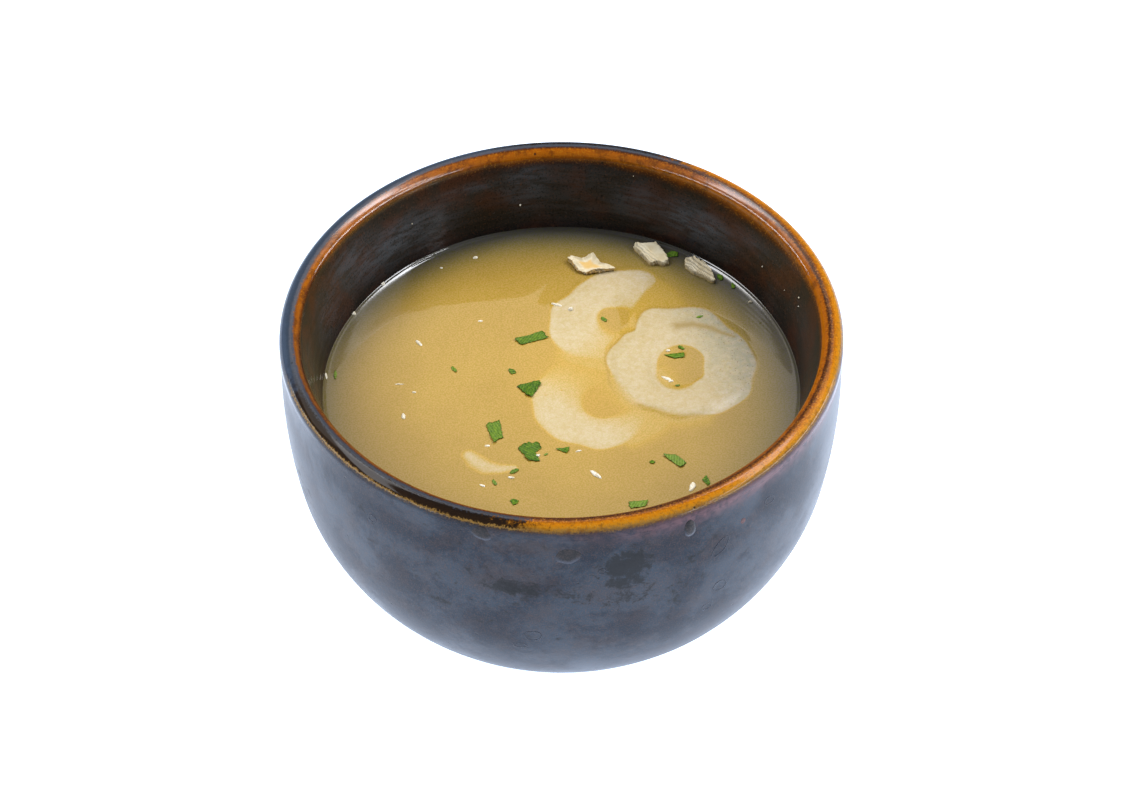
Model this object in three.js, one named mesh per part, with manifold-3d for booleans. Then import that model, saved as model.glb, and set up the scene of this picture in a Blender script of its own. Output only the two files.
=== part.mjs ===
// Miso soup in its stoneware bowl, with two soaked wheat-gluten rings, three crumbled
// pieces, chopped herb flakes and a few pale grains.
// Units are millimetres, +Z is up, and the origin is the centre of the foot's underside.

import * as THREE from 'three';
import { mergeVertices } from 'three/addons/utils/BufferGeometryUtils.js';
import Module from 'manifold-3d';

const wasm = await Module();
wasm.setup();

// Bowl, outside
const bowlHeight = 72.5;
const rimRadius = 60;
const lipThickness = 4.8; // the lip is a full round of this thickness
const straightDepth = 11.6; // from the lip's top to where the wall starts to turn in
const wallArcRadius = 131;
const wallArcSweep = 10.3; // degrees
const bellyArcRadius = 49;
const footRadius = 29.5;
const footFillet = 0.9;
const footRingWidth = 5;
const recessDepth = 2.4;

// Bowl, inside
const floorHeight = 7.5; // inner floor above the underside of the foot
const hollowArcRadius = 41;
const hollowCentreRadius = 9; // half the width of the flat inner floor
const hollowArcTop = 8; // degrees above the horizontal where the hollow's arc ends
const throatLean = 17; // degrees, inward lean of the inner wall just under the lip
const throatPull = 10; // length of the throat curve's two handles

// Soup
const fillDepth = 19.4; // from the lip's top down to the soup
const meniscusRise = 1.1;
const meniscusReach = 1.3; // distance from the wall over which the rise falls to a third
const fitGap = 0.3; // clear gap round everything that stands in the soup

// Facets
const bowlSegments = 64;
const ringSegments = 32;
const sectionSteps = 10;

const soupLevel = bowlHeight - fillDepth;
const degree = Math.PI / 180;

const dipRounding = 4; // how gently a ring bends where it starts to dip

// The ring that floats at the surface. Outlines are radii from its centre, in millimetres.
const frontRing = {
  centre: [26, 7],
  top: 0.7, // height of its top over the soup
  thickness: 4.4,
  middleRadius: 11.1,
  halfWidth: 5.2,
  dip: { towards: 60, from: -10, slope: 0.018 },
  outer: [
    { at: 88, width: 30, add: 4.6 }, // torn lobe at the back
    { at: 128, width: 9, add: -1 }, // notch beside the lobe
  ],
  inner: [
    { at: 90, width: 40, add: 1 }, // the hole is longer than it is wide
    { at: 270, width: 40, add: 0.8 },
    { at: 0, width: 30, add: -1.2 },
    { at: 180, width: 30, add: -0.6 },
  ],
};

// The ring behind it, which starts at the surface and sags down under the first one.
const backRing = {
  centre: [12, 23],
  top: 0.5,
  thickness: 4.2,
  middleRadius: 9.8,
  halfWidth: 5.8,
  dip: { towards: -40, from: -5, slope: 0.42 },
  outer: [
    { at: 147, width: 11, add: -2.0 }, // dent in its edge
    { at: 80, width: 30, add: 0.8 },
  ],
  inner: [],
};

// Crumbled pieces that float against the wall: a folded flake, a slab and a layered strip.
const foldedPiece = {
  centre: [6.6, 39.6], size: [9.6, 3.8, 1], steps: [8, 4], turn: -14,
  base: -0.3, shear: 0.3, curl: 0.6, ridge: 0.2, ridges: 2,
};
const slabPiece = {
  centre: [19.7, 41.8], size: [5, 6, 2.4], steps: [5, 5], turn: 0,
  base: -0.9, shear: -0.42, curl: 0.3, ridge: 0.12, ridges: 3,
};
const stripPiece = {
  centre: [29.8, 36.8], size: [7, 3, 2.2], steps: [6, 6], turn: -42,
  base: -0.8, shear: -0.15, curl: 0.2, ridge: 0.18, ridges: 3,
};

// Herb flakes: place on the soup, length, width and turn in degrees.
const flakeThickness = 0.8;
const flakeProud = 0.45; // how far a flake stands out of the soup
const herbFlakes = [
  { at: [-6.5, 16], size: [6.6, 1.8], turn: 21 },
  { at: [-23, 6.5], size: [2.4, 1], turn: -58 },
  { at: [-10.5, 5.5], size: [2.2, 1.4], turn: -45 },
  { at: [-6, 1], size: [5.2, 3.2], turn: 44 },
  { at: [-14, -12.5], size: [6, 3.4], turn: -82 },
  { at: [-6, -19], size: [6, 4], turn: -67 },
  { at: [0.5, -18], size: [3, 1.6], turn: 3 },
  { at: [-10, -24.5], size: [2.6, 1.3], turn: 34 },
  { at: [-14, -27.5], size: [2.1, 0.9], turn: -65 },
  { at: [-10, -33.5], size: [1.9, 1.6], turn: -90 },
  { at: [24.5, -21], size: [5.8, 2.4], turn: -38 },
  { at: [19, -22], size: [1.3, 1.2], turn: 0 },
  { at: [30.5, -27.5], size: [3, 1.4], turn: -72 },
  { at: [16, -34], size: [4.4, 1.8], turn: 9 },
  { at: [25, 10.5], size: [4, 1.3], turn: 3 },
  { at: [9.5, 22], size: [1.8, 1.1], turn: -48 },
  { at: [24.5, 42.3], size: [3, 1.8], turn: 6 },
  { at: [34.3, 34.6], size: [2.2, 1.4], turn: -64 },
  { at: [37.4, 31.6], size: [1.8, 1.1], turn: -83 },
  { at: [-48.8, 4.6], size: [2.8, 1], turn: -88 },
];

// Pale grains and crumbs, fused to the soup in the same way.
const grainProud = 0.45;
const paleGrains = [
  { at: [7.3, -25.5], size: [3.4, 1.5], turn: -48 },
  { at: [27.5, -29], size: [3.2, 1.5], turn: 75 },
  { at: [-10.5, -26.5], size: [1.5, 0.8], turn: -12 },
  { at: [-16.5, -28.5], size: [1.7, 0.9], turn: -31 },
  { at: [-31, 14.5], size: [2.2, 0.9], turn: -51 },
  { at: [-35, 2], size: [1.8, 0.9], turn: 0 },
];

const finishes = {
  stoneware: { color: 0x4a505c, roughness: 0.3, metalness: 0 },
  broth: { color: 0xbd9a5d, roughness: 0.1, metalness: 0 },
  gluten: { color: 0xe2d6b9, roughness: 0.6, metalness: 0 },
};

// Points on an arc in the (radius, height) half plane, angles in degrees up from +radius.
function arcPoints(centreR, centreZ, radius, fromAngle, toAngle, steps) {
  const points = [];
  for (let i = 0; i <= steps; i++) {
    const angle = (fromAngle + ((toAngle - fromAngle) * i) / steps) * degree;
    const across = centreR + radius * Math.cos(angle);
    points.push(new THREE.Vector2(across, centreZ + radius * Math.sin(angle)));
  }
  return points;
}

// Flat floor, one arc up the hollow, and a curve that leans back out to the lip.
function innerWall() {
  const hollowCentreZ = floorHeight + hollowArcRadius;
  const hollow = arcPoints(
    hollowCentreRadius, hollowCentreZ, hollowArcRadius, -90, -hollowArcTop, 8,
  );
  const start = hollow.at(-1);
  const end = new THREE.Vector2(rimRadius - lipThickness, bowlHeight - lipThickness / 2);
  const startLean = hollowArcTop * degree;
  const endLean = throatLean * degree;
  const startPull = new THREE.Vector2(Math.sin(startLean), Math.cos(startLean));
  const endPull = new THREE.Vector2(-Math.sin(endLean), -Math.cos(endLean));
  const throat = new THREE.CubicBezierCurve(
    start,
    start.clone().addScaledVector(startPull, throatPull),
    end.clone().addScaledVector(endPull, throatPull),
    end,
  );
  return [new THREE.Vector2(0, floorHeight), ...hollow, ...throat.getPoints(6).slice(1)];
}

// Straight band under the lip, a long wall arc, a rounder belly arc and a low foot ring.
function outerWall() {
  const wallCentreR = rimRadius - wallArcRadius;
  const wallCentreZ = bowlHeight - straightDepth;
  const sweep = wallArcSweep * degree;
  const bellyCentreR = wallCentreR + (wallArcRadius - bellyArcRadius) * Math.cos(sweep);
  const bellyCentreZ = wallCentreZ - (wallArcRadius - bellyArcRadius) * Math.sin(sweep);
  const bellyEnd = Math.acos((footRadius + footFillet - bellyCentreR) / bellyArcRadius) / degree;
  const footInner = footRadius - footRingWidth;
  return [
    ...arcPoints(wallCentreR, wallCentreZ, wallArcRadius, 0, -wallArcSweep, 3),
    ...arcPoints(bellyCentreR, bellyCentreZ, bellyArcRadius, -wallArcSweep, -bellyEnd, 9).slice(1),
    ...arcPoints(footRadius - footFillet, footFillet, footFillet, 0, -90, 2),
    ...arcPoints(footInner + footFillet, footFillet, footFillet, -90, -180, 2),
    new THREE.Vector2(footInner - 1, recessDepth),
    new THREE.Vector2(0, recessDepth + 0.4),
  ];
}

function revolve(profile, segments) {
  const geometry = new THREE.LatheGeometry(profile, segments);
  geometry.rotateX(Math.PI / 2);
  return geometry;
}

// A closed solid from a geometry whose shared corners are merged and empty facets dropped.
function toSolid(geometry) {
  geometry.deleteAttribute('normal');
  geometry.deleteAttribute('uv');
  const merged = mergeVertices(geometry, 1e-4);
  const corners = merged.index.array;
  const triangles = [];
  for (let i = 0; i < corners.length; i += 3) {
    const [a, b, c] = corners.slice(i, i + 3);
    if (a !== b && b !== c && c !== a) triangles.push(a, b, c);
  }
  return new wasm.Manifold(new wasm.Mesh({
    numProp: 3,
    vertProperties: Float32Array.from(merged.attributes.position.array),
    triVerts: Uint32Array.from(triangles),
  }));
}

function toMesh(name, solid, finish) {
  const { vertProperties, triVerts } = solid.getMesh();
  const geometry = new THREE.BufferGeometry();
  geometry.setAttribute('position', new THREE.BufferAttribute(vertProperties, 3));
  geometry.setIndex(new THREE.BufferAttribute(triVerts, 1));
  geometry.computeVertexNormals();
  const mesh = new THREE.Mesh(geometry, new THREE.MeshStandardMaterial(finishes[finish]));
  mesh.name = name;
  return mesh;
}

// Moves each vertex of a geometry to where the given function puts it.
function reshape(geometry, place) {
  const position = geometry.attributes.position;
  const point = new THREE.Vector3();
  for (let i = 0; i < position.count; i++) {
    point.fromBufferAttribute(position, i);
    place(point);
    position.setXYZ(i, point.x, point.y, point.z);
  }
  return geometry;
}

function bowlSolid() {
  const lipRadius = lipThickness / 2;
  const lip = arcPoints(rimRadius - lipRadius, bowlHeight - lipRadius, lipRadius, 180, 0, 8);
  const profile = [...innerWall(), ...lip.slice(1), ...outerWall()];
  return toSolid(revolve(profile.reverse(), bowlSegments));
}

// Radius of the inner wall at a height, read off its outline.
function wallRadiusAt(height) {
  const wall = innerWall();
  const above = wall.findIndex((point) => point.y > height);
  const [low, high] = [wall[above - 1], wall[above]];
  return THREE.MathUtils.mapLinear(height, low.y, high.y, low.x, high.x);
}

// The liquid: the hollow's shape less a small gap, flat on top, curling up at the wall.
function liquidSolid() {
  const contactHeight = soupLevel + meniscusRise;
  const below = innerWall().filter((point) => point.y < contactHeight);
  const outline = below.map((point) => {
    const inward = point.x > hollowCentreRadius ? fitGap : 0;
    return new THREE.Vector2(point.x - inward, point.y + fitGap);
  });
  const edge = wallRadiusAt(contactHeight) - fitGap;
  for (const inset of [0, 0.5, 1.2, 2.2, 4]) {
    const rise = meniscusRise * Math.exp(-inset / meniscusReach);
    outline.push(new THREE.Vector2(edge - inset, soupLevel + rise));
  }
  outline.push(new THREE.Vector2(0, soupLevel));
  return toSolid(revolve(outline, bowlSegments));
}

// Sum of round bumps along an outline, each at an angle and as wide as stated, in degrees.
function bumps(list, angle) {
  let sum = 0;
  for (const { at, width, add } of list) {
    const apart = ((((angle - at) % 360) + 540) % 360) - 180;
    sum += add * Math.exp(-((apart / width) ** 2));
  }
  return sum;
}

// A flattened, uneven bread ring. Its section is a squarish oval, its outline has lobes
// and dents, and it dips to one side. A positive grow gives the hollow that clears it.
function ringSolid(ring, grow = 0) {
  const squareness = 0.78; // 1 is an ellipse, less is squarer
  const soften = (value) => Math.sign(value) * Math.abs(value) ** squareness;
  const profile = [];
  for (let i = 0; i <= sectionSteps; i++) {
    const angle = ((i % sectionSteps) / sectionSteps) * 2 * Math.PI;
    const across = ring.middleRadius + (ring.halfWidth + grow) * soften(Math.cos(angle));
    profile.push(new THREE.Vector2(across, (ring.thickness / 2 + grow) * soften(Math.sin(angle))));
  }
  const towards = ring.dip.towards * degree;
  const geometry = reshape(revolve(profile, ringSegments), (point) => {
    const reach = Math.hypot(point.x, point.y);
    const angle = Math.atan2(point.y, point.x) / degree;
    const share = (reach - ring.middleRadius + ring.halfWidth) / (2 * ring.halfWidth);
    const scallop = 0.25 * Math.sin(7 * angle * degree) + 0.2 * Math.sin(11 * angle * degree + 1);
    const shift = share * (bumps(ring.outer, angle) + scallop) + (1 - share) * bumps(ring.inner, angle);
    point.multiply(new THREE.Vector3(1 + shift / reach, 1 + shift / reach, 1));
    const along = point.x * Math.cos(towards) + point.y * Math.sin(towards) - ring.dip.from;
    const sag = (ring.dip.slope * (Math.hypot(along, dipRounding) + along)) / 2;
    point.z += ring.top - ring.thickness / 2 - sag;
    point.add(new THREE.Vector3(ring.centre[0], ring.centre[1], soupLevel));
  });
  return toSolid(geometry);
}

// A torn piece: a box bent into a curled, ridged and slanted slab.
function crumbSolid(piece, grow = 0) {
  const [length, width, thickness] = piece.size.map((side) => side + 2 * grow);
  const box = new THREE.BoxGeometry(length, width, thickness, ...piece.steps, 1);
  const turn = piece.turn * degree;
  const geometry = reshape(box, (point) => {
    const u = point.x / (length / 2);
    const v = point.y / (width / 2);
    const ragged = 1 + 0.06 * Math.sin(5 * v + 2 * u) - 0.05 * u * v;
    point.x = point.x * ragged + piece.shear * point.y;
    point.y *= 1 + 0.07 * Math.sin(4 * u + 1);
    point.z += piece.curl * (u * u + 0.4 * v) + piece.ridge * Math.cos(piece.ridges * Math.PI * v);
    point.z += piece.base + piece.size[2] / 2;
    point.applyAxisAngle(new THREE.Vector3(0, 0, 1), turn);
    point.add(new THREE.Vector3(piece.centre[0], piece.centre[1], soupLevel));
  });
  return toSolid(geometry);
}

// Height of the soup at a place, with its rise at the wall.
function surfaceAt([x, y]) {
  const edge = wallRadiusAt(soupLevel + meniscusRise) - fitGap;
  return soupLevel + meniscusRise * Math.exp((Math.hypot(x, y) - edge) / meniscusReach);
}

// A thin wavy leaf, narrow at one end, both faces split alike.
function flakeSolid(flake) {
  const [length, width] = flake.size;
  const box = new THREE.BoxGeometry(length, width, flakeThickness, 2, 2, 1);
  const turn = flake.turn * degree;
  const height = surfaceAt(flake.at) + flakeProud - flakeThickness / 2;
  const geometry = reshape(box, (point) => {
    const u = point.x / (length / 2);
    point.y = point.y * (1 - 0.35 * u) + 0.12 * width * u * u;
    point.z += 0.12 * Math.cos(2.5 * u) + height;
    const [x, y] = [point.x, point.y];
    point.x = flake.at[0] + x * Math.cos(turn) - y * Math.sin(turn);
    point.y = flake.at[1] + x * Math.sin(turn) + y * Math.cos(turn);
  });
  return toSolid(geometry);
}

// A small oval grain, half sunk.
function grainSolid(grain) {
  const [length, width] = grain.size;
  const ball = new THREE.SphereGeometry(1, 6, 4);
  ball.scale(length / 2, width / 2, grainProud);
  ball.rotateZ(grain.turn * degree);
  ball.translate(grain.at[0], grain.at[1], surfaceAt(grain.at));
  return toSolid(ball);
}

// The liquid with room for what stands in it, and with its small toppings fused on.
function soupSolid() {
  let soup = liquidSolid();
  for (const ring of [frontRing, backRing]) soup = soup.subtract(ringSolid(ring, fitGap));
  for (const piece of [foldedPiece, slabPiece, stripPiece]) {
    soup = soup.subtract(crumbSolid(piece, fitGap));
  }
  for (const flake of herbFlakes) soup = soup.add(flakeSolid(flake));
  for (const grain of paleGrains) soup = soup.add(grainSolid(grain));
  const bodies = soup.decompose();
  return bodies.reduce((largest, body) => (body.volume() > largest.volume() ? body : largest));
}

const misoSoup = new THREE.Group();
misoSoup.add(
  toMesh('bowl', bowlSolid(), 'stoneware'),
  toMesh('soup', soupSolid(), 'broth'),
  toMesh('ring_front', ringSolid(frontRing), 'gluten'),
  toMesh('ring_back', ringSolid(backRing), 'gluten'),
  toMesh('piece_folded', crumbSolid(foldedPiece), 'gluten'),
  toMesh('piece_slab', crumbSolid(slabPiece), 'gluten'),
  toMesh('piece_layered', crumbSolid(stripPiece), 'gluten'),
);

export default misoSoup;
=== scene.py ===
import bpy
import numpy as np
from mathutils import Matrix, Vector


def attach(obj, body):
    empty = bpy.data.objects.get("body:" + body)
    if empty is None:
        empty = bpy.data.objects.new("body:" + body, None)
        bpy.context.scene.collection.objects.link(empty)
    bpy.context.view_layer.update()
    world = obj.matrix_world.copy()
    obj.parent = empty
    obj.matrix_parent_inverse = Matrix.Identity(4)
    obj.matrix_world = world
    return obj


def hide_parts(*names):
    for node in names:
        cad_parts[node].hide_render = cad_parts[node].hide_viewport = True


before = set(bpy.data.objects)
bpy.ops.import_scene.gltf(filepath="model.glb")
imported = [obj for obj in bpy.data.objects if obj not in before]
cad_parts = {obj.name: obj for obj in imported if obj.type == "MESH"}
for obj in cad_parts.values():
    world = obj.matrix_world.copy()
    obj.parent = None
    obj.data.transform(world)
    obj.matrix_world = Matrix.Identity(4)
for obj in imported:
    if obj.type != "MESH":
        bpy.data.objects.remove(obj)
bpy.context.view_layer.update()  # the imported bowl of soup, kept fixed
print("frame loaded:", ", ".join(sorted(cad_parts)))

mm = 0.001
degree = np.pi / 180


# Faces of a grid of points stored row by row; columns close on themselves.
# Quad corners run (i, j), (i+1, j), (i+1, j+1), (i, j+1).
def gridQuads(rows, columns, start=0):
    i = np.arange(rows - 1)[:, None] * columns
    j = np.arange(columns)[None, :]
    k = (j + 1) % columns
    return start + np.stack([i + j, i + columns + j, i + columns + k, i + k], -1).reshape(-1, 4)


# Triangles from one middle point to a closed ring of points.
def fan(middle, first, columns, outward=True):
    j = np.arange(columns)
    k = (j + 1) % columns
    corners = [np.full(columns, middle), first + j, first + k]
    return np.stack(corners if outward else [corners[0], corners[2], corners[1]], -1)


# Faces of rows that end in a middle point at each end. The two middles are the last two points.
def closedRows(rows, columns, flipped=False):
    n = rows * columns
    quads = gridQuads(rows, columns)
    return [
        quads[:, ::-1] if flipped else quads,
        fan(n, 0, columns, outward=not flipped),
        fan(n + 1, n - columns, columns, outward=flipped),
    ]


# Faces of a closed tube, whose rows and columns both close on themselves.
def tubeQuads(rows, columns):
    i, j = np.arange(rows)[:, None], np.arange(columns)[None, :]
    k, m = (i + 1) % rows, (j + 1) % columns
    corners = [i * columns + j, i * columns + m, k * columns + m, k * columns + j]
    return np.stack(corners, -1).reshape(-1, 4)


# Faces of a thin closed shape: an upper disc of rows, a lower one that is a row shorter,
# and the rim between them. The two middles are the last two points.
def discFaces(rows, columns):
    n = rows * columns
    count = n + (rows - 1) * columns
    j = np.arange(columns)
    k = (j + 1) % columns
    last, first = (rows - 1) * columns, n + (rows - 2) * columns
    return [
        gridQuads(rows, columns), fan(count, 0, columns),
        gridQuads(rows - 1, columns, n)[:, ::-1], fan(count + 1, n, columns, outward=False),
        np.stack([last + j, first + j, first + k, last + k], -1),
    ]


# Values for the points of such a shape, from those of the upper disc's rows; 0 at both middles.
def discValues(values):
    return np.concatenate([values.ravel(), values[:-1].ravel(), [0, 0]])


# Angles round a circle, from 0 up to a whole turn.
def roundAngles(count):
    return np.arange(count) / count * 2 * np.pi


# Points in millimetres, lists of face arrays and named values per point become one smooth piece.
def makePiece(name, points, faceArrays, values=None, body="root"):
    mesh = bpy.data.meshes.new(name)
    faces = [face for faceArray in faceArrays for face in faceArray.tolist()]
    mesh.from_pydata((points * mm).tolist(), [], faces)
    mesh.polygons.foreach_set("use_smooth", np.ones(len(faces), bool))
    for key, numbers in (values or {}).items():
        layer = mesh.attributes.new(key, "FLOAT", "POINT")
        layer.data.foreach_set("value", np.asarray(numbers, np.float32))
    mesh.update()
    piece = bpy.data.objects.new(name, mesh)
    bpy.context.scene.collection.objects.link(piece)
    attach(piece, body)
    return piece


# Joins several (points, faces, values) into one piece.
def joinParts(name, parts):
    offset, points, faces, values = 0, [], [], {}
    for partPoints, partFaces, partValues in parts:
        points.append(partPoints)
        faces += [faceArray + offset for faceArray in partFaces]
        for key, numbers in partValues.items():
            values.setdefault(key, []).append(numbers)
        offset += len(partPoints)
    joined = {key: np.concatenate(lists) for key, lists in values.items()}
    return makePiece(name, np.concatenate(points), faces, joined)


# Value noise: random heights on a square lattice, eased between its corners, from -1 to 1.
def softNoise(x, y, size, seed, cells=128):
    table = np.random.default_rng(seed).uniform(-1, 1, (cells, cells))
    u, v = x / size + 1000, y / size + 1000  # shifted so that both are positive
    i, j = np.floor(u).astype(int), np.floor(v).astype(int)
    fu, fv = u - i, v - j
    fu, fv = fu * fu * (3 - 2 * fu), fv * fv * (3 - 2 * fv)
    i, j, nextI, nextJ = i % cells, j % cells, (i + 1) % cells, (j + 1) % cells
    low = table[i, j] * (1 - fu) + table[nextI, j] * fu
    high = table[i, nextJ] * (1 - fu) + table[nextI, nextJ] * fu
    return low * (1 - fv) + high * fv


# The same noise along a circle of the given radius, so that it closes on itself.
def roundNoise(turn, size, seed, radius=58.0):
    return softNoise(radius * np.cos(turn * degree), radius * np.sin(turn * degree), size, seed)


def smoothStep(value, low, high):
    t = np.clip((value - low) / (high - low), 0, 1)
    return t * t * (3 - 2 * t)


# Smallest turn between two angles in degrees.
def turnBetween(a, b):
    return (a - b + 180) % 360 - 180


# A bell round one turn: exp(-(difference / width) ** power), with the width in degrees.
def bellAt(turn, at, width, power=2):
    return np.exp(-(turnBetween(turn, at) / width) ** power)


# Shortest distance from places (x, y) to a line through the given points,
# and how far along it that is, from 0 to 1.
def awayFromLine(x, y, line):
    nearest, where = np.full_like(x, 1e9), np.zeros_like(x)
    for i, (start, end) in enumerate(zip(line[:-1], line[1:])):
        dx, dy = end[0] - start[0], end[1] - start[1]
        t = np.clip(((x - start[0]) * dx + (y - start[1]) * dy) / (dx * dx + dy * dy), 0, 1)
        away = np.hypot(x - start[0] - t * dx, y - start[1] - t * dy)
        where = np.where(away < nearest, (i + t) / (len(line) - 1), where)
        nearest = np.minimum(nearest, away)
    return nearest, where


def newMaterial(name):
    material = bpy.data.materials.new(name)
    material.use_nodes = True
    tree = material.node_tree
    return material, tree, tree.nodes["Principled BSDF"]


# Adds a node; settings are its options, inputs are numbers, colours or sockets to link.
def put(tree, kind, settings=None, inputs=None):
    node = tree.nodes.new(kind)
    for key, value in (settings or {}).items():
        setattr(node, key, value)
    for key, value in (inputs or {}).items():
        if isinstance(value, bpy.types.NodeSocket):
            tree.links.new(value, node.inputs[key])
        else:
            node.inputs[key].default_value = value
    return node


def maths(tree, operation, a, b=0.0, clamp=False):
    return put(tree, "ShaderNodeMath", {"operation": operation, "use_clamp": clamp}, {0: a, 1: b}).outputs[0]


def times(tree, a, b):
    return maths(tree, "MULTIPLY", a, b)


def plus(tree, a, b, clamp=False):
    return maths(tree, "ADD", a, b, clamp)


def mixColour(tree, factor, a, b, mode="MIX"):
    a, b = [(*c, 1) if isinstance(c, tuple) and len(c) == 3 else c for c in (a, b)]
    settings = {"data_type": "RGBA", "blend_type": mode, "clamp_factor": True}
    return put(tree, "ShaderNodeMix", settings, {0: factor, 6: a, 7: b}).outputs[2]


def noiseOf(tree, place, size, detail=2.0, roughness=0.5, distortion=0.0):
    inputs = {
        "Vector": place, "Scale": 1 / (size * mm),
        "Detail": detail, "Roughness": roughness, "Distortion": distortion,
    }
    return put(tree, "ShaderNodeTexNoise", None, inputs).outputs["Fac"]


# A smooth step from one value to another between two limits.
def stepOf(tree, value, low, high, start=0.0, end=1.0):
    inputs = {"Value": value, "From Min": low, "From Max": high, "To Min": start, "To Max": end}
    return put(tree, "ShaderNodeMapRange", {"interpolation_type": "SMOOTHSTEP"}, inputs).outputs["Result"]


# A colour that turns into another as a value goes between two limits, up to the given strength.
def tinted(tree, colour, tint, value, low, high, most=1.0):
    return mixColour(tree, stepOf(tree, value, low, high, 0.0, most), colour, tint)


# A colour painted over another where a mask is 1, at the given strength.
def painted(tree, colour, paint, mask, strength):
    return mixColour(tree, times(tree, mask, strength), colour, paint)


def valueOf(tree, name):
    return put(tree, "ShaderNodeAttribute", {"attribute_name": name}).outputs["Fac"]


# A value moved up and down by a noise: value + (noise - 0.5) * amount.
def shaken(tree, value, noise, amount):
    return plus(tree, value, times(tree, maths(tree, "SUBTRACT", noise, 0.5), amount))


# A colour ramp whose stops are given in the value's own unit.
def rampOf(tree, value, stops):
    low, high = stops[0][0], stops[-1][0]
    limits = {"Value": value, "From Min": low, "From Max": high}
    share = put(tree, "ShaderNodeMapRange", None, limits).outputs["Result"]
    node = put(tree, "ShaderNodeValToRGB", None, {"Fac": share})
    ramp = node.color_ramp
    while len(ramp.elements) < len(stops):
        ramp.elements.new(0.5)
    for element, (position, colour) in zip(ramp.elements, stops):
        element.position = (position - low) / (high - low)
        element.color = (*colour, 1)
    return node.outputs["Color"]


def bumpOf(tree, height, depth, strength=1.0):
    inputs = {"Height": height, "Distance": depth * mm, "Strength": strength}
    return put(tree, "ShaderNodeBump", None, inputs).outputs["Normal"]


def finishPiece(piece, material, slot, *nodes):
    piece.data.materials.append(material)
    if nodes:
        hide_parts(*nodes)


# A node group that reads a place and some numbers, and gives a mask.
def maskGroup(name, numbers):
    tree = bpy.data.node_groups.new(name, "ShaderNodeTree")
    tree.interface.new_socket("Place", in_out="INPUT", socket_type="NodeSocketVector")
    for label, value in numbers.items():
        socket = tree.interface.new_socket(label, in_out="INPUT", socket_type="NodeSocketFloat")
        socket.default_value = value
    tree.interface.new_socket("Mask", in_out="OUTPUT", socket_type="NodeSocketFloat")
    return tree, tree.nodes.new("NodeGroupInput").outputs, tree.nodes.new("NodeGroupOutput")


# Small round specks: a point pattern of the given size, kept only where its random draw is under the share.
def speckGroup():
    tree, given, end = maskGroup("Specks", {"Size": 1.0, "Share": 0.2, "Radius": 0.3})
    scale = maths(tree, "DIVIDE", 1 / mm, given["Size"])
    cells = put(tree, "ShaderNodeTexVoronoi", {"feature": "F1"}, {"Vector": given["Place"], "Scale": scale})
    draw = put(tree, "ShaderNodeSeparateColor", None, {"Color": cells.outputs["Color"]})
    kept = maths(tree, "LESS_THAN", draw.outputs[0], given["Share"])
    inner = times(tree, given["Radius"], 0.4)
    edge = stepOf(tree, cells.outputs["Distance"], inner, given["Radius"], 1.0, 0.0)
    tree.links.new(times(tree, edge, kept), end.inputs["Mask"])
    return tree


# Cloudy unevenness between the two limits.
def cloudGroup():
    tree, given, end = maskGroup("Clouds", {"Size": 10.0, "Low": 0.4, "High": 0.6})
    scale = maths(tree, "DIVIDE", 1 / mm, given["Size"])
    inputs = {"Vector": given["Place"], "Scale": scale, "Detail": 5.0, "Roughness": 0.55, "Distortion": 0.3}
    coarse = put(tree, "ShaderNodeTexNoise", None, inputs).outputs["Fac"]
    tree.links.new(stepOf(tree, coarse, given["Low"], given["High"]), end.inputs["Mask"])
    return tree


specks, clouds = speckGroup(), cloudGroup()


def specksOf(tree, place, size, share, radius):
    inputs = {"Place": place, "Size": size, "Share": share, "Radius": radius}
    return put(tree, "ShaderNodeGroup", {"node_tree": specks}, inputs).outputs["Mask"]


def cloudsOf(tree, place, size, low, high):
    inputs = {"Place": place, "Size": size, "Low": low, "High": high}
    return put(tree, "ShaderNodeGroup", {"node_tree": clouds}, inputs).outputs["Mask"]


bowl = {
    "height": 72.5, "rimRadius": 60.0, "lipThickness": 4.8, "straightDepth": 11.6,
    "wallArcRadius": 131.0, "wallSweep": 10.3, "bellyArcRadius": 49.0,
    "footRadius": 29.5, "footFillet": 0.9, "footRingWidth": 5.0,
    "recessDepth": 2.4, "recessRise": 0.4,  # the recess is higher in its middle by its rise
    "floorHeight": 7.5, "hollowRadius": 41.0, "hollowCentre": 9.0, "hollowTop": 8.0,
    "throatLean": 17.0, "throatPull": 10.0,
    "segments": 320,
    "unevenness": 0.06,  # how far the fired wall moves in and out
    "throwingRipple": 0.02,  # height of the marks left by throwing, inside
    "throwingPitch": 2.6, "throwingWander": 1.3,  # from one mark to the next, and how far they wander
}


# Points (radius, height) on an arc between two angles in degrees.
def arc(centreR, centreZ, radius, start, stop, steps):
    angle = np.linspace(start, stop, steps) * degree
    return np.stack([centreR + radius * np.cos(angle), centreZ + radius * np.sin(angle)], -1)


# Flat floor, an arc up the hollow, then a cubic Bezier that leans back out to the lip.
def innerOutline():
    b = bowl
    centreZ = b["floorHeight"] + b["hollowRadius"]
    hollow = arc(b["hollowCentre"], centreZ, b["hollowRadius"], -90, -b["hollowTop"], 70)
    start = hollow[-1]
    end = np.array([b["rimRadius"] - b["lipThickness"], b["height"] - b["lipThickness"] / 2])
    up, lean = b["hollowTop"] * degree, b["throatLean"] * degree
    first = start + b["throatPull"] * np.array([np.sin(up), np.cos(up)])
    second = end - b["throatPull"] * np.array([np.sin(lean), np.cos(lean)])
    t = np.linspace(0, 1, 60)[1:, None]
    throat = (1 - t) ** 3 * start + 3 * (1 - t) ** 2 * t * first + 3 * (1 - t) * t * t * second + t ** 3 * end
    floor = np.stack([np.linspace(1.5, b["hollowCentre"], 5)[:-1], np.full(4, b["floorHeight"])], -1)
    return np.concatenate([floor, hollow, throat])


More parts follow.
